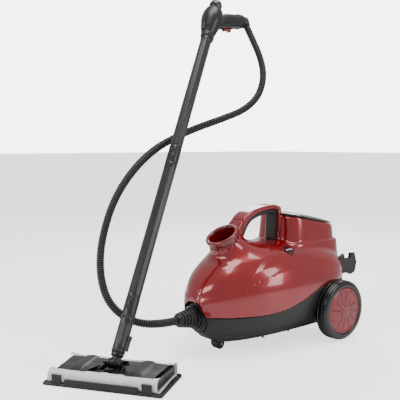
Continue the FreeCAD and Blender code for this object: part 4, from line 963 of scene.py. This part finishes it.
BARREL = smooth_corners([(0, 17.6), (14, 18.6), (34, 24.4), (62, 29.6), (78, 28.4), (92, 24.4), (97, 20.5)])


def in_grip(x, y, z):
    """Gun coordinates seen from the grip, which leans back from the barrel."""
    lean = math.radians(GRIP_ANGLE)
    z = z - GRIP_RISE
    return x * math.cos(lean) + z * math.sin(lean), y, -x * math.sin(lean) + z * math.cos(lean)


def gun_form(x, y, z):
    radius = np.interp(z, BARREL[:, 0], BARREL[:, 1])
    barrel = smooth_both(np.hypot(x, y) - radius, np.abs(z - 48.5) - 48.5, 3)
    gx, gy, gz = in_grip(x, y, z)
    handle = np.hypot(gx, gy * (1 + 0.05 * np.sin(gz / 20))) - (21.3 - 1.4 * np.exp(-((gz - 92) / 12) ** 2))
    handle = smooth_both(handle, np.abs(gz - 55) - 55, 3)
    form = smooth_union(barrel, handle, 9)
    lip = block_field(x, y, z, (-15, 0, 6), (4.5, 6, 9), 2.5)
    form = smooth_union(form, lip, 5)
    form = form + 0.9 * np.exp(-((z - 12) / 0.9) ** 2) * step_at(34 - np.hypot(x, y), 2)
    slot = block_field(gx, gy, gz, (-19.3, 0, 52), (14.2, 5.6, 17.2), 1.0)
    window = np.maximum(stadium_field(y, z - 27, 13.4, 22), 14 - x)
    bore = np.maximum(np.hypot(x, y) - 13, z - 51)
    return np.maximum(np.maximum(np.maximum(form, -slot), -window), -bore)


def make_gun():
    for side, label in ((1, "left"), (-1, "right")):
        def half(x, y, z):
            return smooth_both(gun_form(x, y, z), 0.22 - side * y, 1.0)
        low, high = (0, 33) if side > 0 else (-33, 0)
        piece("gun_skin_" + label, surface_of(half, (-124, low, -2), (34, high, 150), 1.2), GUN, WAND_GREY,
              "canister", ["gun_shell_" + label])

    def release(x, y, z):
        side = stadium_field(y, z, 12.3, 21)
        ridges = 0.7 * np.cos(z * 2 * math.pi / 4.2)
        return smooth_both(smooth_both(side, x - 24.2 - ridges + 0.03 * y ** 2, 1.0), 17 - x, 0.5)
    piece("release_slider", surface_of(release, (16.5, -7, -11.5), (26.5, 7, 11.5), 0.55), moved(GUN, z=27),
          BLACK_GLOSS, "gun_button", ["gun_release_button"])

    def trigger(x, y, z):
        lever = block_field(x, y, z, (-18.8, 0, 51), (8.6, 4.9, 13.8), 2.0)
        toe = block_field(x, y, z, (-26.5, 0, 60), (4, 4.9, 5), 1.6)
        dish = np.hypot(x + 44, z - 48) - 18
        pivot = np.hypot(x + 15.5, z - 40) - 2.06
        return np.maximum(smooth_both(smooth_union(lever, toe, 5), -dish, 2), -pivot)
    piece("steam_lever", surface_of(trigger, (-32, -6, 36), (-9, 6, 67), 0.7), GRIP, RED_CAP, "trigger",
          ["steam_trigger"])

    centre, radius = 112.0, 18.0
    angle = np.linspace(math.asin(-14.4 / radius), math.asin(0.60), 26)
    profile = [(0.01, 97.5), (radius * math.cos(angle[0]), 97.5)]
    profile += [(radius * math.cos(a), centre + radius * math.sin(a)) for a in angle]
    profile += [(13.4, 122.2), (0.01, 122.2)]

    def knurled(around, r, height):
        flutes = 0.5 * np.maximum(np.cos(around * 20), 0) * np.exp(-((height - 106) / 5) ** 4) * (r > 10)
        return r - flutes, height
    piece("dial_ball", lathe(profile, 160, False, knurled), GUN, BLACK_GLOSS, "dial", ["steam_dial"], crisp=50)
    top = [(radius * math.cos(a), centre + radius * math.sin(a)) for a in np.linspace(0.67, 1.5707, 14)]

    def marked(around, r, height):
        pointer = 0.7 * np.exp(-(r * np.sin(around) / 1.3) ** 2) * (np.cos(around) > 0) * (r > 2)
        return r, height + pointer * (height > 123.2) * (r < 11)
    piece("dial_cap_skin", lathe([(0.01, 123.1), (14.1, 123.1)] + top, 96, False, marked), GUN, RED_DEEP,
          "dial", ["dial_cap"], crisp=50)

    end = moved(GRIP, z=110)
    collar = softened([(6, -9), (9.8, -9), (9.8, 0.3), (19.4, 0.3), (20.2, 2), (20.2, 5), (18.6, 6), (18.6, 7.4),
                       (19.6, 8.4), (19.2, 11.4), (15.6, 13.9), (6, 13.9), (6, -9)], 0.9, 3)
    piece("swivel_collar", lathe(collar[:-1], 96), end, BLACK_SATIN, "canister", ["hose_swivel"], crisp=50)
    elbow = point(GRIP, 0, 0, 136)
    leave = point(CANISTER, *(c / MM for c in HOSE_ROUTE[-1]))
    sleeve = axes_at(elbow, (1, 0, 0), leave - elbow)
    run = (leave - elbow).length / MM
    ball = [(14 * math.sin(a), -14 * math.cos(a)) for a in np.linspace(0.02, 1.5, 14)]
    cone = [(14, 2), (13.6, 4), (12.4, 4.8), (12.4, 6.6), (13.2, 7.4), (12.8, 9.6), (11.6, 10.4), (11.6, 12),
            (12.2, 12.8), (11.6, run - 0.6), (10.9, run), (0.01, run)]
    piece("hose_elbow", lathe(ball + list(softened(cone, 0.7, 3)), 80, False), sleeve, BLACK_SATIN, "canister",
          ["hose_strain_relief"], crisp=60)


# ---------------------------------------------------------------- floor head

def flap_form(x, y, z):
    """One spring flap, drawn on the side where y is positive: wavy front, raised ridge, rear finger lug."""
    front = 48 + 3.0 * np.cos((y - 50) * 2 * math.pi / 62) - 4.5 * step_at(26 - y, 2)
    rear = -37 - 9 * np.sqrt(np.clip(1 - ((y - 64) / 15) ** 2, 0, 1))
    inner = 23 + 0.34 * np.clip(x + 14, 0, 60) + 0.10 * np.clip(-14 - x, 0, 40)
    outer = 112 - 0.05 * (x + 37)
    plan = smooth_both(smooth_both(x - front, rear - x, 3), smooth_both(inner - y, y - outer, 3), 5)
    ridge = 1.7 * step_at(11.5 - np.abs(y - 67.5), 1.2) * step_at(40 - x, 3)
    pads = 0.9 * step_at(15 - np.abs(np.abs(y - 67.5) - 29), 1.5) * step_at(14 - np.abs(x - 6), 2)
    top = z - (33.4 + ridge - pads - 0.0018 * np.clip(x - 10, 0, 60) ** 2)
    deck = smooth_both(smooth_both(plan, top, 1.8), 30.6 - z, 0.8)
    eye = rod_field(np.hypot(y - 26, z - 28.5), x, 3, -9, 9, 0.6)
    web = block_field(x, y, z, (0, 26, 30), (9, 1.6, 2), 0.5)
    room = np.maximum(np.maximum(np.abs(np.abs(x) - 13.1) - 3.7, y - 31.5), 19 - y)
    deck = np.maximum(smooth_union(deck, smooth_union(eye, web, 1), 1), -room)
    return np.maximum(deck, -(np.hypot(y - 26, z - 28.5) - 1.56))


def glide_form(x, y, z):
    plan = block_field(x, y, z, (0, 0, 20), (64, 130.5, 30), 5)
    tray = np.maximum(plan, np.maximum(z - 6.8, -z + 0.05))
    hollow = block_field(x, y, z, (0, 0, 43), (61, 127.5, 40), 3)
    tray = smooth_both(tray, -hollow, 1.2)
    lip = smooth_both(np.maximum(plan - 1.4, -plan - 1.8), np.abs(z - 2.6) - 2.4, 1.4)
    tray = smooth_union(tray, lip, 1.2)
    for column in (-1.5, -0.5, 0.5, 1.5):
        window = block_field(x, y, z, (0, column * 63.2, 0), (50, 27.5, 20), 4)
        tray = np.maximum(tray, -window)
    rib = block_field(x, y, z, (0, 0, 1.6), (58, 126, 1.5), 0.5)
    tray = smooth_union(tray, np.maximum(rib, -2.6 - np.abs((y + 31.6) % 63.2 - 31.6)), 1)
    near = np.abs(x) - 62.4
    face = smooth_both(smooth_both(np.abs(near) - 1.7, np.abs(y) - 84, 1), np.abs(z - 8) - 8.4, 1)
    notch = np.maximum(np.abs(np.abs(y) - 84) - 2.0 - 0.10 * (z - 4), 4 - z)
    tab = smooth_both(np.abs(near) - 1.9, np.abs(np.abs(y) - 99) - 10.5, 1)
    tab = smooth_both(tab, np.abs(z - 12) - 12.2, 1)
    hook = block_field(near, np.abs(y) - 99, z, (0.7, 0, 22.6), (2.9, 10.5, 1.7), 1.0)
    walls = np.minimum(np.maximum(face, -notch), smooth_union(tab, hook, 1))
    return smooth_both(smooth_union(tray, walls, 0.8), -z + 0.05, 0.2)


def cloth_section(count):
    """The cloth's path round the head's body, from its tucked rear edge under the sole to the front top."""
    corners = [(-37, 31.6), (-52, 31.4), (-57.2, 27), (-58.4, 14), (-57, 5.2), (-50, 4.6), (0, 4.4), (50, 4.6),
               (57, 5.2), (58.6, 14), (57.6, 26.4), (51, 30.2), (40, 30.4)]
    line = smooth_corners(corners, 3)
    runs = np.concatenate(([0], np.cumsum(np.linalg.norm(np.diff(line, axis=0), axis=1))))
    marks = np.linspace(0, runs[-1], count)
    return np.stack((np.interp(marks, runs, line[:, 0]), np.interp(marks, runs, line[:, 1])), 1)


def make_cloth():
    """Terry cloth stretched round the head: looped pile, soft folds, and ends that roll over."""
    across, along = 190, 224
    path = cloth_section(across)
    tangent = np.gradient(path, axis=0)
    tangent /= np.linalg.norm(tangent, axis=1, keepdims=True)
    outward = np.stack((tangent[:, 1], -tangent[:, 0]), 1)
    y = np.linspace(-121, 121, along)
    rng = np.random.default_rng(7)
    u, v = np.meshgrid(np.arange(across), np.arange(along), indexing="ij")
    loops = 0.30 * np.sin(u * 2.1 + 1.3 * np.sin(v * 0.9)) * np.sin(v * 2.2 + 1.1 * np.sin(u * 0.8))
    loops += rng.normal(0, 0.13, loops.shape)
    folds = 0.7 * np.sin(v * 0.085 + 1.0) * np.sin(u * 0.12) + 0.5 * np.sin(v * 0.21 + u * 0.05)
    ends = np.exp(-((121 - np.abs(y)) / 7.0) ** 2)
    side_face = np.clip((path[:, 1] - 5) / 6, 0, 1)
    lift = loops + folds * side_face[:, None]
    lift += 2.2 * ends[None, :] * side_face[:, None]
    on_sole = path[:, 1] < 5.4
    lift[on_sole] = np.clip(lift[on_sole], -0.5, 0.5)
    x = path[:, 0, None] + outward[:, 0, None] * lift
    z = path[:, 1, None] + outward[:, 1, None] * lift
    tuck = np.clip((np.abs(y) - 30) / 12, 0, 1)
    z = z - (1 - tuck)[None, :] * 0.4 * (path[:, 1, None] > 29)
    stretch = np.broadcast_to(y, x.shape) + 1.2 * np.sin(u * 0.06) * np.sign(y) * (ends > 0.3)
    points = np.stack((x, stretch, np.maximum(z, 3.6)), 2).reshape(-1, 3)
    i, j = np.meshgrid(np.arange(across - 1), np.arange(along - 1), indexing="ij")
    a = (i * along + j).ravel()
    faces = np.stack((a, a + along, a + along + 1, a + 1), 1)
    cloth = piece("terry_cloth", (points, faces), HEAD, TERRY, "head", ["mop_cloth"])


def make_head():
    for side, label in ((1, "left"), (-1, "right")):
        def flap(x, y, z):
            return flap_form(x, side * y, z)
        low, high = min(side * 19, side * 115), max(side * 19, side * 115)
        piece("flap_skin_" + label, surface_of(flap, (-49, low, 24), (54, high, 38), 1.1), HEAD, FLAP_GREY,
              "flap_" + label, ["flap_" + label])
    glide = surface_of(glide_form, (-67, -134, -1), (67, 134, 27), 1.5)
    piece("glide_tray", glide, HEAD, CHARCOAL, "head", ["glide_frame"])

    def yoke(x, y, z):
        bed = block_field(x, y, z, (0, 0, -2), (20.4, 14.4, 4), 2)
        cheek = np.maximum(np.abs(np.abs(y) - 12.4) - 2.0, np.hypot(x, np.maximum(z - 11.5, 0)) - 9.0)
        cheek = np.maximum(cheek, -4 - z)
        trunnion = rod_field(np.hypot(y, z), np.abs(x), 5, 18, 32, 0.6)
        body = smooth_union(smooth_union(bed, cheek, 2), trunnion, 1.5)
        boss = rod_field(np.hypot(x, z - 11.5), np.abs(y), 5.5, 12, 15.4, 0.8)
        return np.maximum(smooth_union(body, boss, 0.8), -(np.hypot(x, z - 11.5) - 3.0))
    piece("swivel_fork", surface_of(yoke, (-34, -17, -8), (34, 17, 23), 0.9), YOKE, BLACK_SATIN, "yoke",
          ["swivel_yoke"])
    make_cloth()


# ---------------------------------------------------------------- what keeps its own shape

PLAIN = {
    "lid_hinge_pin": STEEL, "boiler": BOILER_METAL, "heating_element": STEEL, "boiler_brackets": STEEL,
    "filler_neck": BRASS, "safety_valve": BRASS, "thermostat": BOILER_METAL, "steam_valve": BRASS,
    "steam_pipe": BRASS, "cable_gland": BLACK_SATIN, "case_screws": STEEL, "rear_axle": STEEL,
    "cap_seal": SILICONE, "caster_fork": BLACK_SATIN, "caster_pin": STEEL, "caster_roller": TYRE,
    "trigger_pin": STEEL, "pitch_pin": STEEL, "flap_pins": STEEL, "head_body": BLACK_SATIN,
    "accessory_tray": BLACK_SATIN, "indicator_panel": BLACK_GLOSS, "indicator_lenses": WHITE_MARK,
}


def dress_plain_nodes():
    for name, thing in frame["nodes"].items():
        material = PLAIN.get(name, BLACK_SATIN)
        thing.data.materials.clear()
        thing.data.materials.append(material)


def lay_floor():
    mesh = bpy.data.meshes.new("pale_floor")
    mesh.from_pydata([(-30, -30, 0), (30, -30, 0), (30, 30, 0), (-30, 30, 0)], [], [(0, 1, 2, 3)])
    floor = bpy.data.objects.new("pale_floor", mesh)
    bpy.context.collection.objects.link(floor)
    mesh.materials.append(FLOOR)


def terry_finish():
    """White looped cotton: a fuzzy pile in its relief, painted shade greying the hollows between the loops, with
    sheen.
    """
    made = finish("white_terry_cotton", (214, 214, 212), (244, 244, 242), 0.85, grain=420, clouds=40, depth=0.9,
                  wear=0.0, dust=0.0, sheen=0.5)
    tree = made.node_tree
    shader = tree.nodes["Principled BSDF"]
    pile = tree.nodes.new("ShaderNodeTexVoronoi")
    pile.inputs["Scale"].default_value = 480
    place = tree.nodes.new("ShaderNodeTexCoord").outputs["Object"]
    tree.links.new(place, pile.inputs["Vector"])
    # painted shade: the colour turns grey from the loop tops down into the hollows between the loops, where shade
    # falls
    hollow = stretched(tree, pile.outputs["Distance"], 0.1, 0.75, 1.0, 0.72)
    shade = mixed(tree, hollow, linear(176, 175, 172), linear(250, 250, 248))
    tree.links.new(shade, shader.inputs["Base Color"])
    bump = next(node for node in tree.nodes if node.type == "BUMP")
    tree.links.new(maths(tree, "SUBTRACT", 1.0, pile.outputs["Distance"]), bump.inputs["Height"])
    bump.inputs["Distance"].default_value = 0.0015
    return made


TERRY = terry_finish()
FLOOR = finish("pale_floor_paint", (240, 240, 240), (246, 246, 246), 0.6, grain=60, clouds=2, depth=0.0, wear=0.0,
               dust=0.0)


def bright_floor():
    """Lifts the floor that the camera sees towards white, and leaves its bounce on the part alone."""
    tree = FLOOR.node_tree
    shader = tree.nodes["Principled BSDF"]
    seen = tree.nodes.new("ShaderNodeLightPath").outputs["Is Camera Ray"]
    shader.inputs["Emission Color"].default_value = (1, 1, 1, 1)
    tree.links.new(maths(tree, "MULTIPLY", seen, 1.5), shader.inputs["Emission Strength"])


bright_floor()

aim_camera()
make_hose()
light_room()
dress_plain_nodes()
make_shells()
make_funnel()
for side, label in ((1, "left"), (-1, "right")):
    make_wheel(side, label)
    make_hook(side, label)
make_hose_end()
make_wand()
make_gun()
make_head()
lay_floor()
